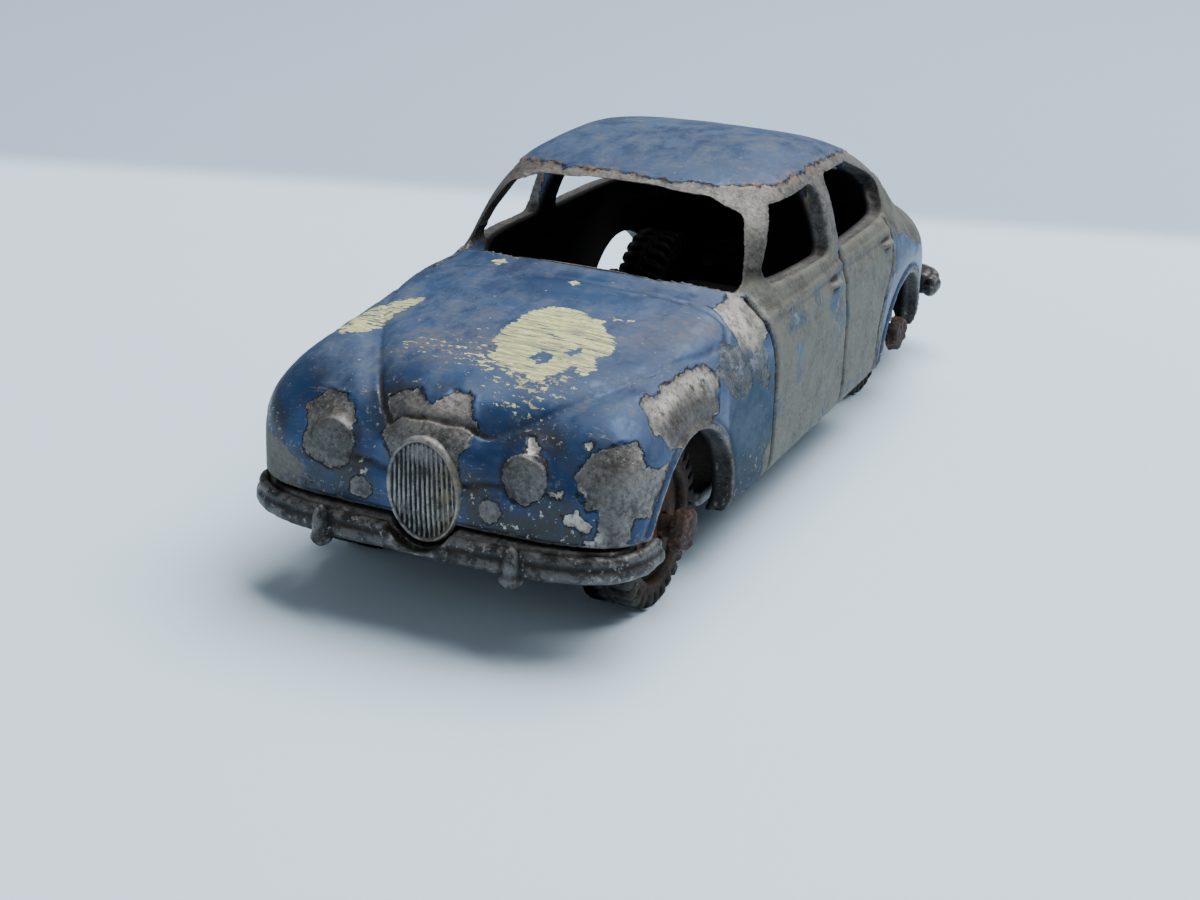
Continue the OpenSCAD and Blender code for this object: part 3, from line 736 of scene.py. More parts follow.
SPECK_TRAIL = [
    (-0.4, -24, 13.1), (1.1, -25.6, 12.7), (2.8, -27, 12.1), (4.4, -27.2, 11.6), (5.6, -26.3, 11.9),
    (5.9, -24, 12.6), (4, -23, 13), (1.5, -23.5, 13.1),
]
SCUFF = [
    (-5.3, -23.5, 12.9), (-4.2, -22.5, 13.1), (-1, -21.2, 13.3), (1.2, -22.4, 13.2), (1, -24.6, 12.9),
    (-1.2, -25.4, 12.7), (-3.4, -25.6, 12.5), (-4.7, -24.9, 12.7),
]
LEFT_SCUFF = [
    (4.4, -16.9, 13.7), (6.5, -15, 13.8), (9.1, -13.8, 13.3), (9.7, -14.7, 12.7), (8.9, -17.8, 12.9),
    (6.9, -20.1, 13.1), (5.4, -19.5, 13.4),
]
DEEP_BLUE = [
    (-3.5, -13.7, 14.2), (0.2, -12.3, 14.4), (2.8, -13.3, 14.2), (4.9, -14.6, 14), (2.7, -15.2, 14),
    (-1.4, -16.4, 13.9),
]
# Dull grime low on the nose, dusty blue on the wings, and flecks of pale crust round the left lamp
LOW_GRIME = [
    (2, -29.3, 9.4), (3.2, -29.1, 8.8), (4.4, -29, 7.5), (6.4, -28.8, 7.9), (7, -28.8, 9),
    (7.9, -28.7, 8.2), (9.2, -28.6, 6.3), (5.7, -28.4, 5.6), (2.2, -29.2, 5.8),
]
RIGHT_GRIME = [
    (-10.6, -27.3, 8.6), (-8, -28.7, 8), (-7.3, -28.8, 7.1), (-4.4, -29.1, 7.4), (-2.3, -29.3, 6.6),
    (-5.9, -28.9, 5.9), (-9.9, -28.2, 5.8),
]
WING_DUST = [
    (6.8, -26.2, 12.1), (7.4, -25.1, 12.4), (8.5, -21.4, 12.7), (9.3, -16.9, 12.5), (9.9, -17.3, 12.1),
    (9.4, -21.7, 12.3), (9.5, -24.1, 11.9), (9, -26, 11.7), (8, -27, 11.5),
]
RIGHT_WING_DUST = [
    (-8.8, -23.7, 12.4), (-9, -21.3, 12.6), (-7.6, -18.3, 13.3), (-6.4, -17.9, 13.5),
    (-5.8, -18.8, 13.4), (-5.9, -22, 13.1), (-5.2, -24.8, 12.7), (-4.9, -26.6, 12), (-6.1, -27.2, 11.6),
]
PALE_FLECKS = (
    [(4.5, -28.1, 10.8), (4.7, -27.7, 11.3), (5.2, -27.7, 11.2), (6, -28.3, 10.5), (5.6, -29.1, 10.4),
     (4.9, -28.7, 10.3)],
    [(6.6, -28.8, 8.8), (7.3, -28.8, 9), (7.4, -28.8, 8.6), (6.9, -28.8, 8.6)],
    [(7.1, -28.8, 7.8), (8, -28.7, 8.1), (8.6, -28.7, 7.8), (9, -28.6, 7.1), (8.4, -28.7, 6.8),
     (7.8, -28.8, 6.9), (7.3, -28.8, 7.2)],
    [(7.7, -27.5, 11.1), (8, -27.2, 11.4), (8.4, -27.6, 10.9), (8.2, -27.9, 10.4)],
    [(8.4, -28.7, 6.7), (9.2, -28.5, 6.9), (9.3, -28.5, 6.1), (8.6, -28.7, 6.1)],
)
CREST_EDGE = [
    (9.6, -24.4, 11.7), (9.7, -21.8, 12), (9.7, -19.9, 12.2), (9.8, -17.7, 12.2), (10.2, -16.9, 11.8),
    (10.5, -17.9, 11.3), (10.2, -20.2, 11.5), (10.1, -22.8, 11.5), (10.3, -24.1, 11.2),
]
# The roof's paint ends short of the gutter on the left and of the header in front
ROOF_PAINT = [
    (-8.3, 14), (-9.2, 4), (-8.9, -2.2), (-7.4, -4.4), (-4, -5.7), (-0.6, -5.5), (2.2, -5.6),
    (5.3, -5.3), (6.8, -4.2), (7.9, -2.9), (8.1, 1.6), (8.1, 6.7), (7.2, 12.4), (5.6, 16.5), (4, 19),
    (-4, 19.4), (-7, 18),
]


def wear_of(points, normals, edges):
    """Values at each point that say where the paint has gone and what lies there."""
    warped = points
    for size, seed, amount in ((0.9, 5, 0.3), (0.35, 25, 0.12)):
        warped = warped + amount * np.stack([rough(points, size, seed + k) for k in range(3)], -1)
    x, y, z = warped.T
    mid, wide = rough(points, 1.7, 41), rough(points, 5.0, 47)

    def area(outline, depth=3.0):
        return patch(warped, normals, outline, depth)

    def near(outline, reach, depth=3.0):
        """1 well inside an outline, falling to 0 outside it over reach."""
        return clamped(0.5 + area(outline, depth) / reach)

    # Bare areas with a crisp edge, and mottled ones where paint and metal mix
    crisp = [ABOVE_GRILLE, RIGHT_POD, LEFT_CORNER, LEFT_CREST, LEFT_COWL, RIGHT_CREST]
    mottled = [LEFT_FENDER, LEFT_DOORS, LEFT_TAIL, RIGHT_CORNER, RIGHT_DOOR, RIGHT_REAR, TAIL_PATCH]
    bare = np.full(len(points), -1.2) + 0.75 * np.maximum(mid + 0.5 * wide, -0.6)
    for outline in crisp:
        bare = np.maximum(bare, area(outline))
    soft_area = np.full(len(points), -9.0)
    for outline in mottled:
        inside = area(outline, 2.6)
        if outline is LEFT_FENDER:
            inside = np.minimum(inside, 0.02)
        soft_area = np.maximum(soft_area, inside)
    haze = clamped(0.5 + soft_area / 0.8)
    bare = np.maximum(bare, np.minimum(soft_area, 0.55 + 1.1 * mid + 0.4 * wide))

    # The faces of the lamps are bare
    ax, at_nose = np.abs(points[:, 0]), points[:, 1] < -28.3
    lamp_edge = np.hypot(ax - LAMP_X, points[:, 2] - LAMP_Z) - LAMP_R + 0.1 * mid
    fog_edge = np.hypot(ax - FOG_X, points[:, 2] - FOG_Z) - FOG_R + 0.25 * mid
    bare = np.maximum(bare, np.where(at_nose, -np.minimum(lamp_edge, fog_edge), -9))

    # Round the cabin the paint is gone below the roof's edge, more on the left than on the right
    lowest = np.where(np.abs(x) < 8.2, 14.9, 13.8)
    cabin = np.minimum(polygon_distance(x, y, ROOF_PAINT), z - lowest)
    tail_fade = np.where(x > 0, 0.5 * eased((y - 17) / 4), 1.4 * eased((y - 11) / 5))
    cabin = np.minimum(cabin, np.where(x > 0, 0.9, 0.35) + 0.8 * mid - tail_fade)
    bare = np.maximum(bare, cabin)

    # Worn edges, and bare rims round the arches and along the sills
    sharp = convexity(points, normals, edges)
    bare = np.maximum(bare, (sharp - 1.0 + 0.4 * mid) * 0.9)
    below_windows = (z > 12.6) & (z < 14.8) & (np.abs(y - 3) < 12)
    ledge = eased((normals[:, 2] - 0.2) / 0.2) * eased((ax - 8.3) / 0.4) * below_windows
    bare = np.maximum(bare, np.where(ledge > 0.5, 0.5 + 0.4 * mid, -9))
    arch_rim_shade = 0
    for ya, za, r in (FRONT_ARCH, REAR_ARCH):
        rim = np.hypot(points[:, 1] - ya, points[:, 2] - za) - r
        bare = np.maximum(bare, np.where(ax > 9.3, 0.14 + 0.16 * mid - rim, -9))
        # Painted shade on the faces inside the arch's rim, given through the tone
        arch_rim_shade = np.maximum(arch_rim_shade, eased((0.16 - rim) / 0.12))
    bare = np.maximum(bare, 0.3 + 0.5 * mid - (z - SILL_Z) * 0.8)

    cream = area(BONNET_CREAM)
    for hole in CREAM_HOLES:
        cream = np.minimum(cream, -area(hole))
    cream = np.maximum(cream, np.minimum(area(WING_CREAM), 0.25) - 0.1)
    for spot in COWL_CREAM:
        cream = np.maximum(cream, area(spot) - 0.05)

    specks = near(SPECK_TRAIL, 2.4) + 0.6 * near(SCUFF, 1.5)
    crust = near(CREST_EDGE, 0.9) * clamped(0.75 + 0.8 * mid)
    crust = np.maximum(crust, 0.75 * near(LEFT_COWL, 1.2) * clamped(0.6 + mid))
    for outline in PALE_FLECKS:
        crust = np.maximum(crust, near(outline, 0.5) * clamped(0.8 + 0.6 * mid))
        bare = np.maximum(bare, area(outline) - 0.15 + 0.35 * rough(points, 0.5, 33))

    # Creases get painted shade, but less along the bonnet's line and in the valleys beside it
    hollow = clamped(-sharp * 0.9 - 0.12)
    bonnet_line = bell(polygon_distance(x, y, BONNET), 0.6) * eased((y + 27) / 2) * (z > 10)
    valleys = ((z > 10) & (y < -18)) * eased((np.abs(x + 0.8) - 3) / 2)
    hollow = hollow * (1 - 0.75 * bonnet_line) * (1 - 0.75 * valleys)

    # Dust lies on what faces up, thicker on the wings, grime at the nose, and the paint darker towards the
    # bottom
    dust = clamped(0.45 * eased((normals[:, 2] - 0.2) / 0.7) + 0.25 * wide + 0.1)
    dust = dust * eased((y + 28) / 5) * (1 - 0.6 * eased((y + 18) / 3) * (y < -5))
    dust = dust + 0.5 * near(WING_DUST, 1.6) + 0.9 * near(RIGHT_WING_DUST, 2.2)
    dust = clamped(dust + 0.25 * eased((y + 29) / 3) * (z > 9.5))
    scuffed = np.maximum(near(SCUFF, 1.5), 0.75 * near(LEFT_SCUFF, 1.6))
    grime = np.maximum(near(LOW_GRIME, 1.0), 0.8 * near(RIGHT_GRIME, 1.2))
    # Darker towards the bottom
    grime = np.maximum(grime, 0.5 * eased(6.8 + 0.6 * mid - z))
    grime = np.maximum(grime, clamped(1.3 * mid + 0.15) * eased((-25.8 - y) / 1.5))

    # Paint that stayed clean. Above 0.8 it also gets painted shade, most of all in the strip behind the left
    # front arch
    strip = (x > 10) * eased((y + 17.6) / 1.5) * eased((-9.0 - y) / 0.5) * eased((12.2 - z) / 2.5)
    clean_paint_and_shade = np.maximum(1.6 * strip, 0.8 * eased((-27.2 - y) / 1.2) * (z < 11.5))
    clean_paint_and_shade = np.maximum(clean_paint_and_shade, 0.9 * near(DEEP_BLUE, 2.0))
    stain = bell(cabin, 0.3) * eased((z - 15.2) / 0.6) * clamped(0.4 + 1.5 * mid)

    # How light the bare metal is from place to place, with painted shade on the rims inside the wheel arches
    pillar = eased((ax - 6.4) / 0.8) * eased((z - 13.6) / 0.8) * eased((-5.6 - y) / 1.5)
    tone = 1 - 0.55 * pillar - 0.36 * near(LEFT_CREST, 1.0) - 0.16 * near(LEFT_CORNER, 1.0)
    tone = tone - 0.55 * near(LEFT_TAIL, 2.0, 2.6) + 0.1 * near(LEFT_COWL, 1.2)
    tone = tone + 0.35 * eased((x - 9.6) / 0.8) * (y < -24) - 0.35 * ledge - 0.55 * arch_rim_shade
    tone = tone - (0.17 + 0.09 * (x < 0)) * clamped(-lamp_edge / 0.2) * at_nose
    tone = tone - 0.5 * near(LEFT_FENDER, 1.0, 2.6) * (z < 11.9)
    return {
        "bare": bare, "haze": haze, "cream": cream, "specks": specks, "crust": crust,
        "hollow": hollow, "dust": dust, "scuffed": scuffed, "grime": grime, "clean_paint_and_shade": clean_paint_and_shade,
        "stain": stain, "tone": clamped(tone / 2),
    }


# ---- Materials ----
class Paint:
    """Builds one node material. Its textures work in the piece's own coordinates, in millimetres."""

    def __init__(self, name):
        self.material = bpy.data.materials.new(name)
        self.material.use_nodes = True
        self.tree = self.material.node_tree
        self.shader = self.tree.nodes["Principled BSDF"]
        place = self.tree.nodes.new("ShaderNodeTexCoord")
        self.mm = self.scaled(place.outputs["Object"], 1 / MM)

    def node(self, kind, inputs, out=0, **settings):
        made = self.tree.nodes.new(kind)
        for key, value in settings.items():
            setattr(made, key, value)
        for key, value in inputs.items():
            self.put(made.inputs[key], value)
        return made.outputs[out]

    def put(self, socket, value):
        if isinstance(value, bpy.types.NodeSocket):
            self.tree.links.new(value, socket)
        elif isinstance(value, tuple) and len(value) == 3 and socket.type == "RGBA":
            socket.default_value = (*value, 1.0)
        else:
            socket.default_value = value

    def calc(self, operation, a, b=0.0, clamp=False):
        return self.node("ShaderNodeMath", {0: a, 1: b}, operation=operation, use_clamp=clamp)

    def plus(self, a, b, clamp=False):
        return self.calc("ADD", a, b, clamp)

    def minus(self, a, b, clamp=False):
        return self.calc("SUBTRACT", a, b, clamp)

    def times(self, a, b, clamp=False):
        return self.calc("MULTIPLY", a, b, clamp)

    def larger(self, a, b):
        return self.calc("MAXIMUM", a, b)

    def rest(self, share):
        """What a share leaves of 1."""
        return self.minus(1.0, share, clamp=True)

    def scaled(self, vector, scale):
        return self.node("ShaderNodeVectorMath", {0: vector, "Scale": scale}, operation="SCALE")

    def noise(self, per_mm, detail=4.0, roughness=0.6, scale=(1.0, 1.0, 1.0), shift=None):
        """Noise from about 0 to 1 with features 1 / per_mm millimetres across."""
        place = self.mm
        if shift:
            place = self.node("ShaderNodeMapping", {"Vector": place, "Scale": scale, "Location": shift})
        values = {"Vector": place, "Scale": per_mm, "Detail": detail, "Roughness": roughness}
        return self.node("ShaderNodeTexNoise", values)

    def cells(self, per_mm):
        return self.node("ShaderNodeTexVoronoi", {"Vector": self.mm, "Scale": per_mm})

    def step(self, value, low, high, to_low=0.0, to_high=1.0):
        """Eases from to_low at low to to_high at high."""
        values = {"Value": value, "From Min": low, "From Max": high, "To Min": to_low, "To Max": to_high}
        return self.node("ShaderNodeMapRange", values, interpolation_type="SMOOTHSTEP")

    def known(self, name):
        return self.node("ShaderNodeAttribute", {}, out="Fac", attribute_name=name)

    def mix(self, share, a, b):
        """A colour between a and b."""
        made = self.tree.nodes.new("ShaderNodeMix")
        made.data_type = "RGBA"
        self.put(made.inputs[0], share)
        self.put(made.inputs[6], a)
        self.put(made.inputs[7], b)
        return made.outputs[2]

    def blend(self, share, a, b):
        """A number between a and b."""
        made = self.tree.nodes.new("ShaderNodeMix")
        self.put(made.inputs[0], share)
        self.put(made.inputs[2], a)
        self.put(made.inputs[3], b)
        return made.outputs[0]

    def bump(self, height, strength, reach_mm):
        values = {"Height": height, "Strength": strength, "Distance": reach_mm * MM}
        return self.node("ShaderNodeBump", values)

    def finish(self, colour, roughness, metallic, normal, **fixed):
        self.put(self.shader.inputs["Base Color"], colour)
        self.put(self.shader.inputs["Roughness"], roughness)
        self.put(self.shader.inputs["Metallic"], metallic)
        self.put(self.shader.inputs["Normal"], normal)
        for key, value in fixed.items():
            self.shader.inputs[key.replace("_", " ")].default_value = value
        return self.material


ZINC_TINTS = (
    (0.064, 0.062, 0.061), (0.17, 0.164, 0.158), (0.28, 0.268, 0.248), (0.033, 0.031, 0.03),
    (0.5, 0.49, 0.45),
)
DARK_BLUE, LIGHT_BLUE, BLUE_FILM, BLUE_DUST = (
    (0.012, 0.034, 0.096), (0.028, 0.07, 0.168), (0.075, 0.09, 0.125), (0.075, 0.11, 0.172),
)
BLUE_HAZE, SHADE_DARK, SHADE_LIGHT = (0.068, 0.13, 0.185), (0.028, 0.055, 0.088), (0.068, 0.1, 0.135)
RUBBED_BLUE, CHAFED_BLUE, HAIR_SCRATCH = (0.12, 0.108, 0.112), (0.105, 0.098, 0.112), (0.17, 0.19, 0.23)
PALE_NICK, GRIME, GRIME_SPRAY = (0.4, 0.42, 0.42), (0.036, 0.037, 0.036), (0.42, 0.42, 0.38)
DARK_CREAM, LIGHT_CREAM = (0.46, 0.47, 0.2), (0.68, 0.69, 0.35)
RUBBED_CREAM, BROWN_CREAM = (0.22, 0.24, 0.17), (0.3, 0.22, 0.12)
CRUST, PIT, FLAKE_RIM, GREEN_ZINC = (
    (0.52, 0.505, 0.455), (0.05, 0.048, 0.046), (0.52, 0.51, 0.46), (0.15, 0.155, 0.13),
)
# The flake line colour is a painted shadow, the crease colour is painted shade in the creases, and the inside
# colour is painted shade over the hollow inside
FLAKE_EDGE_SHADOW, ROOF_STAIN, CREASE_SHADE_TINT, CAVITY_SHADE = (
    (0.006, 0.006, 0.007), (0.25, 0.165, 0.095), (0.016, 0.014, 0.012), (0.009, 0.009, 0.01),
)


def zinc_colour(m, light=1.0):
    """Mottled grey of old zinc, with grain and pale specks. Returns its colour and its height."""
    blotch = m.noise(0.55, 5.0, 0.65)
    grain = m.noise(4.0, 4.0, 0.7)
    speck = m.noise(9.0, 3.0, 0.6)
    dark, plain, bright, pore, pale = (tuple(light * v for v in tint) for tint in ZINC_TINTS)
    colour = m.mix(m.step(blotch, 0.3, 0.7), dark, plain)
    colour = m.mix(m.step(grain, 0.45, 0.7, 0.0, 0.5), colour, bright)
    colour = m.mix(m.step(grain, 0.48, 0.3, 0.0, 0.6), colour, pore)
    colour = m.mix(m.step(speck, 0.66, 0.72, 0.0, 0.7), colour, pale)
    return colour, m.plus(m.times(grain, 0.6), m.times(speck, 0.3))


def worn_enamel():
    """The body's paint and bare metal, laid out by the values that wear_of gives."""
    m = Paint("worn_enamel")
    mid, fine = m.noise(0.9, 5.0, 0.6), m.noise(3.2, 6.0, 0.68)
    ragged = m.plus(m.times(m.minus(mid, 0.5), 0.5), m.times(m.minus(fine, 0.5), 0.55))
    haze = m.known("haze")
    edge = m.plus(m.known("bare"), ragged)
    soft = m.blend(haze, 0.035, 0.3)
    bare = m.plus(m.calc("DIVIDE", edge, m.times(soft, 2.0)), 0.5, clamp=True)

    # Paint: blue, greyed by dust and rubbing, with fine scratches and stains
    blotch = m.noise(0.22, 4.0, 0.55)
    paint = m.mix(m.step(blotch, 0.3, 0.7), DARK_BLUE, LIGHT_BLUE)
    worn = m.rest(m.known("clean_paint_and_shade"))
    film = m.step(m.noise(0.55, 6.0, 0.72, shift=(6.0, 3.0, 9.0)), 0.42, 0.72)
    paint = m.mix(m.times(film, m.times(worn, 0.4)), paint, BLUE_FILM)
    cloud = m.noise(0.8, 6.0, 0.7, scale=(1.0, 0.55, 1.0), shift=(3.0, 7.0, 1.0))
    dusty = m.times(m.times(m.known("dust"), worn), m.step(cloud, 0.36, 0.66, 0.25, 1.35))
    paint = m.mix(m.times(dusty, 0.62, clamp=True), paint, BLUE_DUST)
    rub = m.times(m.step(cloud, 0.52, 0.72), m.plus(m.known("dust"), m.known("scuffed")), clamp=True)
    paint = m.mix(m.times(rub, 0.6), paint, RUBBED_BLUE)
    chafe = m.noise(1.7, 7.0, 0.78, scale=(0.8, 1.3, 1.0), shift=(1.0, 2.0, 3.0))
    chafed = m.times(m.known("scuffed"), m.step(chafe, 0.42, 0.58), clamp=True)
    paint = m.mix(m.times(chafed, 0.62), paint, CHAFED_BLUE)
    hair = m.noise(1.3, 4.0, 0.65, scale=(0.5, 7.0, 4.0), shift=(0.0, 0.0, 0.0))
    hairs = m.times(m.step(hair, 0.57, 0.66), m.step(cloud, 0.4, 0.6))
    paint = m.mix(m.times(hairs, 0.45), paint, HAIR_SCRATCH)
    # Painted shade over the paint where the clean-paint value passes 0.8
    shaded = m.minus(m.known("clean_paint_and_shade"), 0.8, clamp=True)
    paint = m.mix(shaded, paint, m.mix(m.step(cloud, 0.35, 0.65), SHADE_DARK, SHADE_LIGHT))
    nick = m.step(m.noise(3.5, 3.0, 0.6, scale=(1.0, 1.6, 1.0), shift=(4.0, 8.0, 2.0)), 0.7, 0.73)
    paint = m.mix(m.times(nick, 0.7), paint, PALE_NICK)
    haze_tint = m.step(m.noise(0.5, 4.0, 0.6, shift=(9.0, 2.0, 4.0)), 0.4, 0.62)
    paint = m.mix(m.times(haze, haze_tint), paint, BLUE_HAZE)
    grime = m.times(m.known("grime"), m.step(fine, 0.28, 0.55, 0.35, 1.0))
    paint = m.mix(grime, paint, GRIME)
    spray = m.times(m.step(m.noise(2.6, 5.0, 0.75), 0.6, 0.63), m.known("grime"))
    paint = m.mix(spray, paint, GRIME_SPRAY)

    # Pale cream under-colour where the blue has rubbed through, scratched across the car
    scratch = m.noise(1.0, 4.0, 0.7, scale=(0.55, 5.5, 2.0), shift=(5.0, 1.0, 0.0))
    cream_edge = m.plus(m.calc("MINIMUM", m.known("cream"), 0.45), m.times(ragged, 1.5))
    cream_edge = m.minus(cream_edge, m.step(scratch, 0.55, 0.7, 0.0, 1.5))
    cream = m.step(cream_edge, -0.04, 0.05)
    flecks = m.noise(2.3, 4.0, 0.7, scale=(0.8, 1.5, 1.0), shift=(1.0, 4.0, 8.0))
    fleck_level = m.blend(m.calc("MINIMUM", m.known("specks"), 1.0), 0.72, 0.53)
    fleck = m.step(m.minus(flecks, fleck_level), 0.0, 0.02)
    cream = m.larger(cream, m.times(fleck, m.rest(haze)))
    cream_paint = m.mix(m.step(fine, 0.35, 0.7), DARK_CREAM, LIGHT_CREAM)
    rubbed = m.noise(1.0, 4.0, 0.65, scale=(0.4, 4.0, 2.0), shift=(2.0, 8.0, 0.0))
    cream_paint = m.mix(m.step(rubbed, 0.46, 0.58, 0.0, 0.85), cream_paint, RUBBED_CREAM)
    cream_paint = m.mix(m.step(mid, 0.6, 0.72, 0.0, 0.8), cream_paint, BROWN_CREAM)
    coat = m.mix(cream, paint, cream_paint)

    # Bare metal with pale crust, and a painted shadow line where a flake of paint ends
    metal, grain = zinc_colour(m)
    lightness = m.times(m.known("tone"), 2.0)
    metal = m.scaled(metal, lightness)
    crusty = m.times(m.known("crust"), m.step(m.noise(1.8, 6.0, 0.75), 0.36, 0.56), clamp=True)
    metal = m.mix(crusty, metal, CRUST)
    pitted = m.step(m.noise(3.0, 5.0, 0.75, shift=(3.0, 6.0, 2.0)), 0.56, 0.64, 0.0, 0.6)
    metal = m.mix(m.times(pitted, m.rest(haze)), metal, PIT)
    near_edge = m.times(m.step(edge, 0.0, 0.1, 1.0, 0.0), m.step(m.noise(1.3, 4.0, 0.7), 0.5, 0.62))
    metal = m.mix(m.times(near_edge, 0.8), metal, FLAKE_RIM)
    green = m.times(haze, m.step(m.noise(0.45, 5.0, 0.65), 0.38, 0.62, 0.25, 0.8))
    metal = m.mix(green, metal, GREEN_ZINC)
    colour = m.mix(bare, coat, metal)
    # A painted shadow line along each flake's edge
    line = m.step(m.calc("ABSOLUTE", m.plus(edge, 0.03)), 0.02, 0.07, 1.0, 0.0)
    line = m.times(m.times(line, m.step(mid, 0.36, 0.48)), m.rest(haze))
    colour = m.mix(m.times(line, 0.9), colour, FLAKE_EDGE_SHADOW)

    # Brown stain along the roof's edge, painted shade in the creases, and near-black painted shade over the
    # unpainted inside
    colour = m.mix(m.times(m.known("stain"), m.step(fine, 0.42, 0.6)), colour, ROOF_STAIN)
    crease_shade = m.times(m.known("hollow"), m.step(mid, 0.2, 0.5, 0.6, 1.0), clamp=True)
    colour = m.mix(crease_shade, colour, CREASE_SHADE_TINT)
    # The inside of the casting gets near-black painted shade
    inner = m.known("inner")
    colour = m.mix(inner, colour, CAVITY_SHADE)

    rough_paint = m.step(dusty, 0.0, 0.7, 0.34, 0.66)
    roughness = m.blend(bare, m.blend(cream, rough_paint, 0.6), 0.56)
    dull = m.times(m.plus(shaded, m.times(haze, 0.4)), 1.3, clamp=True)
    roughness = m.blend(m.larger(m.larger(crease_shade, inner), dull), roughness, 0.9)
    metallic = m.times(m.blend(bare, m.blend(cream, 0.3, 0.0), 0.55), m.rest(m.larger(crease_shade, inner)))
    flake = m.step(edge, -0.03, 0.05, 1.0, 0.0)
    relief = m.plus(m.times(flake, 0.9), m.times(cream, 0.12))
    relief = m.plus(relief, m.times(m.times(grain, bare), 0.9))
    relief = m.plus(relief, m.times(fine, 0.1))
    return m.finish(colour, roughness, metallic, m.bump(relief, 0.7, 0.09), Specular_IOR_Level=0.28)


def bare_zinc(name, light):
    """Unpainted casting, dark where it is stained, with painted shade in its creases and where it lies inside
    the body.
    """
    m = Paint(name)
    colour, grain = zinc_colour(m, light)
    mid = m.noise(1.1, 5.0, 0.7, shift=(2.0, 5.0, 3.0))
    worn = m.times(m.known("sharp"), m.step(mid, 0.4, 0.58))
    colour = m.mix(m.times(worn, 0.45), colour, (0.25, 0.25, 0.245))
    # Painted shade in the creases
    crease_shade = m.times(m.known("hollow"), 0.9)
    colour = m.mix(crease_shade, colour, (0.01, 0.01, 0.01))
    stain = m.step(mid, 0.54, 0.66)
    colour = m.mix(m.times(stain, 0.6), colour, (0.014, 0.014, 0.015))
    abraded = m.step(m.noise(2.0, 6.0, 0.78, shift=(7.0, 1.0, 5.0)), 0.58, 0.62)
    colour = m.mix(m.times(abraded, 0.75), colour, (0.27, 0.27, 0.26))
    # Near-black painted shade where the piece lies inside the body
    colour = m.mix(m.known("inside_shade"), colour, (0.008, 0.008, 0.008))
    relief = m.plus(m.times(grain, 0.8), m.times(mid, 0.5))
    roughness, metallic = m.step(grain, 0.3, 0.7, 0.42, 0.7), m.blend(stain, 0.55, 0.2)
    return m.finish(colour, roughness, metallic, m.bump(relief, 0.75, 0.1))


def grille_metal():
    m = Paint("grille_zinc")
    colour, grain = zinc_colour(m, 0.75)
    # Sharp edges lighter: rubbed metal and a painted highlight
    worn = m.times(m.known("sharp"), m.step(m.noise(1.6, 5.0, 0.7), 0.34, 0.6))
    colour = m.mix(m.times(worn, 0.8), colour, (0.46, 0.45, 0.43))
    # Painted shade between the ribs and in the creases
    colour = m.mix(m.times(m.known("hollow"), 0.85), colour, (0.013, 0.013, 0.014))
    earth = m.times(m.known("earth"), m.step(m.noise(2.2, 5.0, 0.7), 0.4, 0.6))
    colour = m.mix(m.times(earth, 0.7), colour, (0.24, 0.2, 0.12))
    return m.finish(colour, m.step(grain, 0.3, 0.7, 0.45, 0.7), 0.5, m.bump(grain, 0.6, 0.05))


def wheel_plastic():
    """Black plastic with a grey bloom, and rust that has crept over the hub."""
    m = Paint("wheel_plastic")
    broad, fine = m.noise(0.7, 5.0, 0.65), m.noise(5.0, 4.0, 0.65)
    colour = m.mix(m.step(broad, 0.35, 0.7), (0.02, 0.02, 0.021), (0.06, 0.058, 0.056))
    colour = m.mix(m.step(fine, 0.55, 0.7, 0.0, 0.6), colour, (0.13, 0.125, 0.118))
    rust = m.times(m.known("rusty"), m.step(m.noise(1.1, 5.0, 0.7), 0.36, 0.58))
    colour = m.mix(rust, colour, (0.085, 0.042, 0.024))
    # Painted shade in the creases of the tread
    colour = m.mix(m.times(m.known("hollow"), 0.8), colour, (0.01, 0.009, 0.008))
    # Near-black painted shade on the side towards the middle of the car
    colour = m.mix(m.known("inside_shade"), colour, (0.002, 0.002, 0.002))
    relief = m.plus(m.times(fine, 0.7), broad)
    roughness = m.step(fine, 0.3, 0.7, 0.65, 0.9)
    return m.finish(colour, roughness, 0.0, m.bump(relief, 0.5, 0.08), Specular_IOR_Level=0.06)


def rusted_steel():
    """Brown rust with ochre bloom and dark pits."""
    m = Paint("rusted_steel")
    broad, fine, pits = m.noise(1.1, 5.0, 0.7), m.noise(3.4, 6.0, 0.72), m.cells(3.0)
    colour = m.mix(m.step(broad, 0.35, 0.7), (0.018, 0.012, 0.009), (0.055, 0.023, 0.013))
    colour = m.mix(m.step(fine, 0.56, 0.7), colour, (0.16, 0.07, 0.028))
    colour = m.mix(m.step(fine, 0.64, 0.74, 0.0, 0.9), colour, (0.55, 0.37, 0.13))
    colour = m.mix(m.step(m.noise(2.0, 4.0, 0.6), 0.56, 0.66, 0.0, 0.7), colour, (0.16, 0.05, 0.06))
    colour = m.mix(m.step(pits, 0.18, 0.05, 0.0, 0.8), colour, (0.012, 0.007, 0.006))
    relief = m.plus(m.times(fine, 1.2), m.plus(broad, m.times(pits, 0.5)))
    return m.finish(colour, m.step(broad, 0.3, 0.7, 0.6, 0.9), 0.1, m.bump(relief, 0.9, 0.18))


# ---- Pieces ----
# Each grid is its lowest corner, its highest corner and its spacing
BODY_GRID = ((-11.5, -30.6, 2.8), (11.5, 30.0, 20.0), 0.14)
GRILLE_GRID = ((-2.5, -30.4, 4.4), (2.5, -27.6, 10.8), 0.055)
FLOOR_GRID = ((-10.2, -30.2, 3.0), (10.2, 30.2, 5.9), 0.16)
WHEEL_GRID = ((-WHEEL_W - 0.2, -4.8, -4.8), (0.2, 4.8, 4.8), 0.1)
AXLE_GRID = ((-11.1, -1.4, -1.4), (11.1, 1.4, 1.4), 0.07)
MOST_Y = 30.84  # the bumpers end inside the frame's box


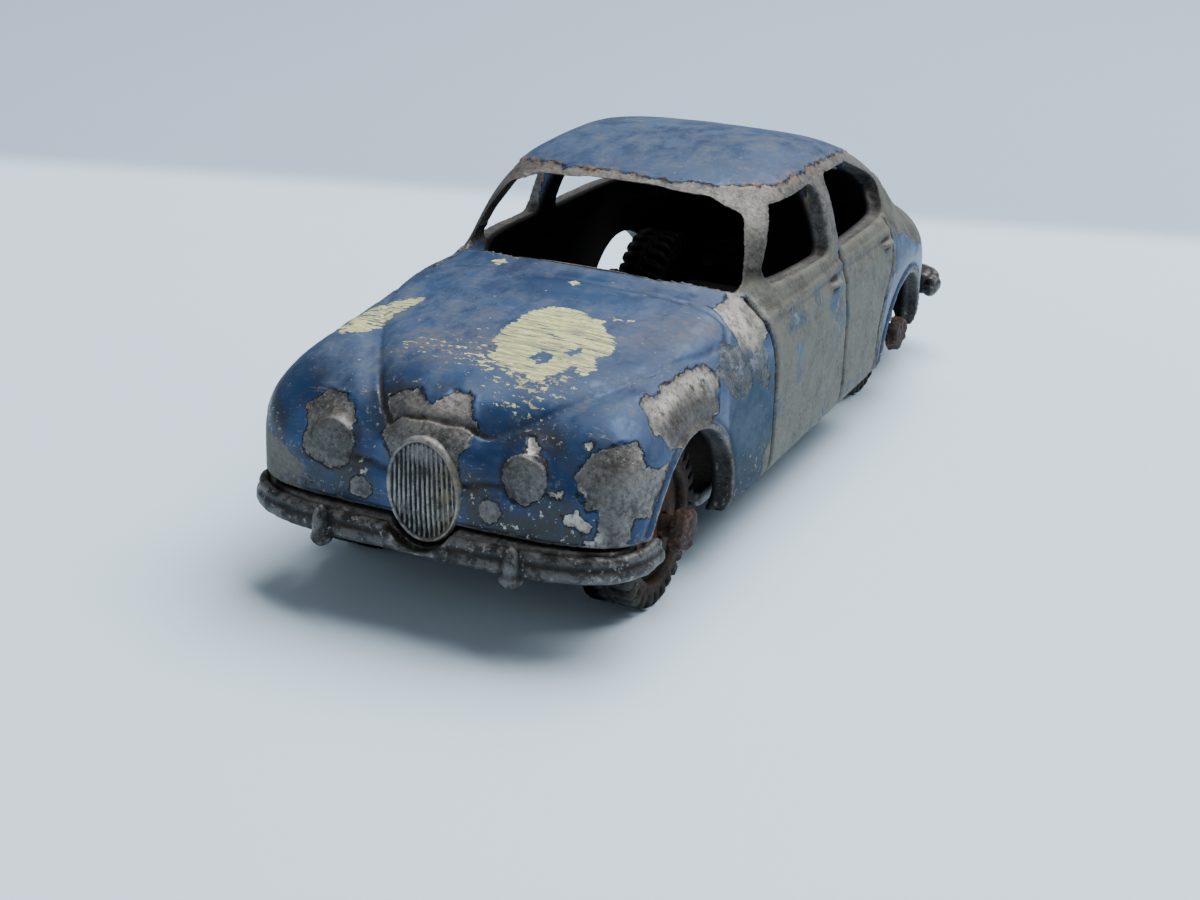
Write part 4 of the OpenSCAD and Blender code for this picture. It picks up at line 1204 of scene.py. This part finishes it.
def weathered(ob, amount, size, seed):
    """Uneven casting, and values that mark its ridges and creases. Returns the uneven points."""
    points, normals, edges = points_of(ob), normals_of(ob), edges_of(ob)
    sharp = 0.7 * convexity(points, normals, edges)
    set_attribute(ob, "sharp", clamped(sharp))
    # The crease value darkens the creases in the materials, as painted shade
    set_attribute(ob, "hollow", clamped(-sharp - 0.1))
    low, high = points.min(0), points.max(0)
    points = points + normals * (amount * rough(points, size, seed))[:, None]
    set_points(ob, np.clip(points, low, high))
    return points


def make_body():
    """The body casting, with the paint standing proud of the worn metal."""
    g = Grid(*BODY_GRID)
    field, cavity = body_field(g)
    ob = object_from_field("body_shell", g, field)
    points, normals, edges = points_of(ob), normals_of(ob), edges_of(ob)
    inner = eased((0.5 - g.sample(cavity, points)) / 0.3)
    at_posts = (np.abs(points[:, 0]) < 2) & (np.abs(points[:, 1]) < 27)
    rivet = at_posts & (points[:, 2] < 4.4) & (normals[:, 2] < -0.3)
    inner = np.where(rivet, 0, np.maximum(inner, at_posts & (points[:, 2] < 6)))
    values = wear_of(points, normals, edges)
    bare = values["bare"] = np.where(rivet, 0.6, values["bare"])
    dimple = sum(bell(np.hypot(points[:, 0], points[:, 1] - yp), 0.55) for yp, _ in POSTS) * rivet
    lifted = bell(bare + 0.14, 0.13) * clamped(0.5 + rough(points, 1.3, 91))
    flake = -0.07 * eased((bare + 0.06) / 0.14) + 0.035 * lifted
    pits = -0.05 * clamped(rough(points, 0.55, 61) * 2 - 0.5) * eased(bare / 0.2)
    sag = 0.03 * rough(points, 2.2, 71)
    move = (flake * (1 - values["haze"]) + pits + sag - 0.03) * (1 - inner) - 0.25 * dimple
    low, high = points.min(0), points.max(0)
    set_points(ob, np.clip(points + normals * move[:, None], low, high))
    for name, value in values.items():
        set_attribute(ob, name, value)
    set_attribute(ob, "inner", inner)
    ob.data.materials.append(worn_enamel())
    return ob


def make_grille():
    """The grille, with its edges rubbed bright and given a painted highlight, fading towards its top, and
    earth on its left.
    """
    g = Grid(*GRILLE_GRID)
    ob = object_from_field("grille", g, grille_field(g))
    points = weathered(ob, 0.03, 0.5, 103)
    # The bright edges, rubbed metal and painted highlight, are weaker towards the top
    low_rim = 0.45 + 0.55 * eased((9.0 - points[:, 2]) / 2.5)
    marks = ob.data.attributes["sharp"].data
    marks.foreach_set("value", (read(marks, "value", 1)[:, 0] * low_rim).astype(np.float32))
    earth = clamped((points[:, 0] - 0.1) / 1.2) * eased((10.2 - points[:, 2]) / 1.5)
    set_attribute(ob, "earth", earth)
    ob.data.materials.append(grille_metal())
    return ob


def make_bumper(name, bumper, seed):
    """One bumper bar. Its y comes from its end of the car."""
    end, half = bumper[0], bumper[1]
    near, far = end * 24.4, end * 31.0
    g = Grid((-half - 0.2, min(near, far), 3.7), (half + 0.2, max(near, far), 6.4), 0.1)
    ob = object_from_field(name, g, bumper_field(g, bumper))
    weathered(ob, 0.06, 0.8, seed)
    points = points_of(ob)
    points[:, 1] = np.clip(points[:, 1], -MOST_Y, MOST_Y)
    set_points(ob, points)
    set_attribute(ob, "inside_shade", 0 * points[:, 0])
    return ob


def make_floor():
    """The floor, with painted shade on top where it lies inside the body."""
    g = Grid(*FLOOR_GRID)
    ob = object_from_field("floor_plate", g, floor_field(g), 0.01)
    points = weathered(ob, 0.03, 1.6, 131)
    within = eased((9.6 - np.abs(points[:, 0])) / 0.5) * eased((29.2 - np.abs(points[:, 1])) / 0.4)
    set_attribute(ob, "inside_shade", 0.95 * within * eased((points[:, 2] - 3.9) / 0.3))
    return ob


def make_wheel(name, side, track, axle_y, turn, seed):
    """A wheel in its place, with rust on its hub and painted shade towards the middle of the car."""
    g = Grid(*WHEEL_GRID)
    ob = object_from_field(name, g, wheel_field(g))
    points = weathered(ob, 0.05, 0.9, seed)
    r, depth = np.hypot(points[:, 1], points[:, 2]), -points[:, 0]
    set_attribute(ob, "rusty", clamped(1.2 - (r - 1.2) / 2.6) * eased((1.1 - depth) / 0.5))
    # Painted shade on the side towards the middle of the car, over more of each rear wheel
    inward = 0.3 if axle_y > 0 else 1.6
    set_attribute(ob, "inside_shade", eased((depth - inward) / 0.6))
    points[:, 1:] *= (np.clip(r, BORE_R, WHEEL_R - 0.01) / np.maximum(r, 1e-3))[:, None]
    c, s = math.cos(turn), math.sin(turn)
    x, y, z = points.T
    placed = np.stack([side * (x + track / 2), axle_y + c * y - s * z, AXLE_Z + s * y + c * z], -1)
    set_points(ob, placed)
    if side < 0:
        ob.data.flip_normals()
    return ob


def make_axle(name, axle_y, seed):
    """An axle in its place, with lumpy heads."""
    g = Grid(*AXLE_GRID)
    ob = object_from_field(name, g, axle_field(g))
    points, normals = points_of(ob), normals_of(ob)
    on_head = eased((np.abs(points[:, 0]) - 10.0) / 0.2)
    lumps = on_head * (0.24 * rough(points, 0.6, seed) + 0.03)
    lumps = lumps - 0.03 * (1 - on_head) * lattice(points, 0.5, seed)
    points = points + normals * (lumps - 0.05 * on_head)[:, None]
    points[:, 0] = np.clip(points[:, 0], -AXLE_REACH, AXLE_REACH)
    r = np.hypot(points[:, 1], points[:, 2])
    points[:, 1:] *= np.where(on_head < 0.5, np.minimum(1, SHAFT_R / np.maximum(r, 1e-3)), 1)[:, None]
    set_points(ob, points + np.array([0, axle_y, AXLE_Z]))
    return ob


body = make_body()
grille = make_grille()
for piece in (body, grille):
    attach(piece, "shell")
    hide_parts("body_casting")

bumper_zinc, floor_zinc = bare_zinc("bumper_zinc", 0.17), bare_zinc("floor_zinc", 0.5)
floor_plate = make_floor()
floor_plate.data.materials.append(floor_zinc)
front_bumper = make_bumper("front_bumper", FRONT_BUMPER, 111)
rear_bumper = make_bumper("rear_bumper", REAR_BUMPER, 121)
for piece in (front_bumper, rear_bumper):
    piece.data.materials.append(bumper_zinc)
for piece in (floor_plate, front_bumper, rear_bumper):
    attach(piece, "shell")
    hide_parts("baseplate")

plastic, rust = wheel_plastic(), rusted_steel()
for end, track, axle_y in (("front", FRONT_TRACK, FRONT_AXLE_Y), ("rear", REAR_TRACK, REAR_AXLE_Y)):
    axle = make_axle(f"{end}_axle_rod", axle_y, 201 if end == "front" else 211)
    axle.data.materials.append(rust)
    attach(axle, f"{end}_axle")
    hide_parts(f"{end}_axle")
    for side, hand in ((1, "left"), (-1, "right")):
        seed = 300 + 10 * (end == "rear") + (side > 0)
        wheel = make_wheel(f"{end}_{hand}_tyre", side, track, axle_y, 0.13 * seed, seed)
        wheel.data.materials.append(plastic)
        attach(wheel, f"{end}_{hand}_wheel")
        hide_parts(f"{end}_{hand}_wheel")


# ---- Floor, light and camera ----
FLOOR_TINTS = ((0.65, 0.81, 0.96), (0.68, 0.84, 0.98), (0.31, 0.42, 0.56))
BACKWARD = (-0.29, 0.957, 0.0)
FLOOR_SIZE, LIGHT_TARGET = 1.6, Vector((0, 0, 0.01))


def make_stage():
    """A pale floor that darkens behind the car."""
    bpy.ops.mesh.primitive_plane_add(size=FLOOR_SIZE, location=(0, 0, 0))
    floor = bpy.context.object
    floor.name = "studio_floor"
    m = Paint("studio_floor")
    cloud = m.noise(0.012, 4.0, 0.55)
    colour = m.mix(m.step(cloud, 0.3, 0.7), FLOOR_TINTS[0], FLOOR_TINTS[1])
    behind = m.node("ShaderNodeVectorMath", {0: m.mm, 1: BACKWARD}, out=1, operation="DOT_PRODUCT")
    shade = m.larger(m.step(behind, 56.0, 64.0, 0.0, 0.8), m.step(behind, 90.0, 300.0))
    colour = m.mix(shade, colour, FLOOR_TINTS[2])
    m.finish(colour, 0.6, 0.0, m.bump(m.noise(0.35, 4.0, 0.6), 0.08, 0.4))
    floor.data.materials.append(m.material)


def area_light(name, place, size, energy, colour=(1.0, 1.0, 1.0)):
    data = bpy.data.lights.new(name, "AREA")
    data.shape = "RECTANGLE"
    data.size, data.size_y = size
    data.energy, data.color = energy, colour
    ob = bpy.data.objects.new(name, data)
    ob.location = place
    ob.rotation_euler = (LIGHT_TARGET - Vector(place)).to_track_quat("-Z", "Y").to_euler()
    bpy.context.scene.collection.objects.link(ob)


def make_light():
    world = bpy.data.worlds.new("studio")
    bpy.context.scene.world = world
    world.use_nodes = True
    sky = world.node_tree.nodes["Background"]
    sky.inputs["Color"].default_value = (0.86, 0.92, 1.0, 1.0)
    sky.inputs["Strength"].default_value = 0.17
    area_light("overhead", (0.10, 0.16, 0.42), (0.5, 0.4), 5.3)
    area_light("front_fill", (-0.3, -0.45, 0.25), (0.4, 0.3), 0.5, (0.93, 0.96, 1.0))


CAMERA_AZIMUTH, CAMERA_ELEVATION, CAMERA_ROLL = 24.0, 21.47, 2.03
CAMERA_PLACE = (44.91, -109.20, 45.90)
CAMERA_LENS, SENSOR_WIDTH, CLIP_START = 60.41, 36.0, 0.005


def make_camera():
    """The photograph's view: the camera leans to one side by its roll."""
    a, e, roll = (math.radians(v) for v in (CAMERA_AZIMUTH, CAMERA_ELEVATION, CAMERA_ROLL))
    back = Vector((math.sin(a) * math.cos(e), -math.cos(a) * math.cos(e), math.sin(e)))
    flat = Vector((0, 0, 1)).cross(back).normalized()
    tall = back.cross(flat)
    c, s = math.cos(roll), math.sin(roll)
    right, upward = c * flat + s * tall, -s * flat + c * tall
    data = bpy.data.cameras.new("camera")
    data.lens, data.sensor_width, data.clip_start = CAMERA_LENS, SENSOR_WIDTH, CLIP_START
    ob = bpy.data.objects.new("camera", data)
    place = Matrix([right, upward, back]).transposed().to_4x4()
    place.translation = Vector(CAMERA_PLACE) * MM
    ob.matrix_world = place
    bpy.context.scene.collection.objects.link(ob)
    bpy.context.scene.camera = ob


make_stage()
make_light()
make_camera()
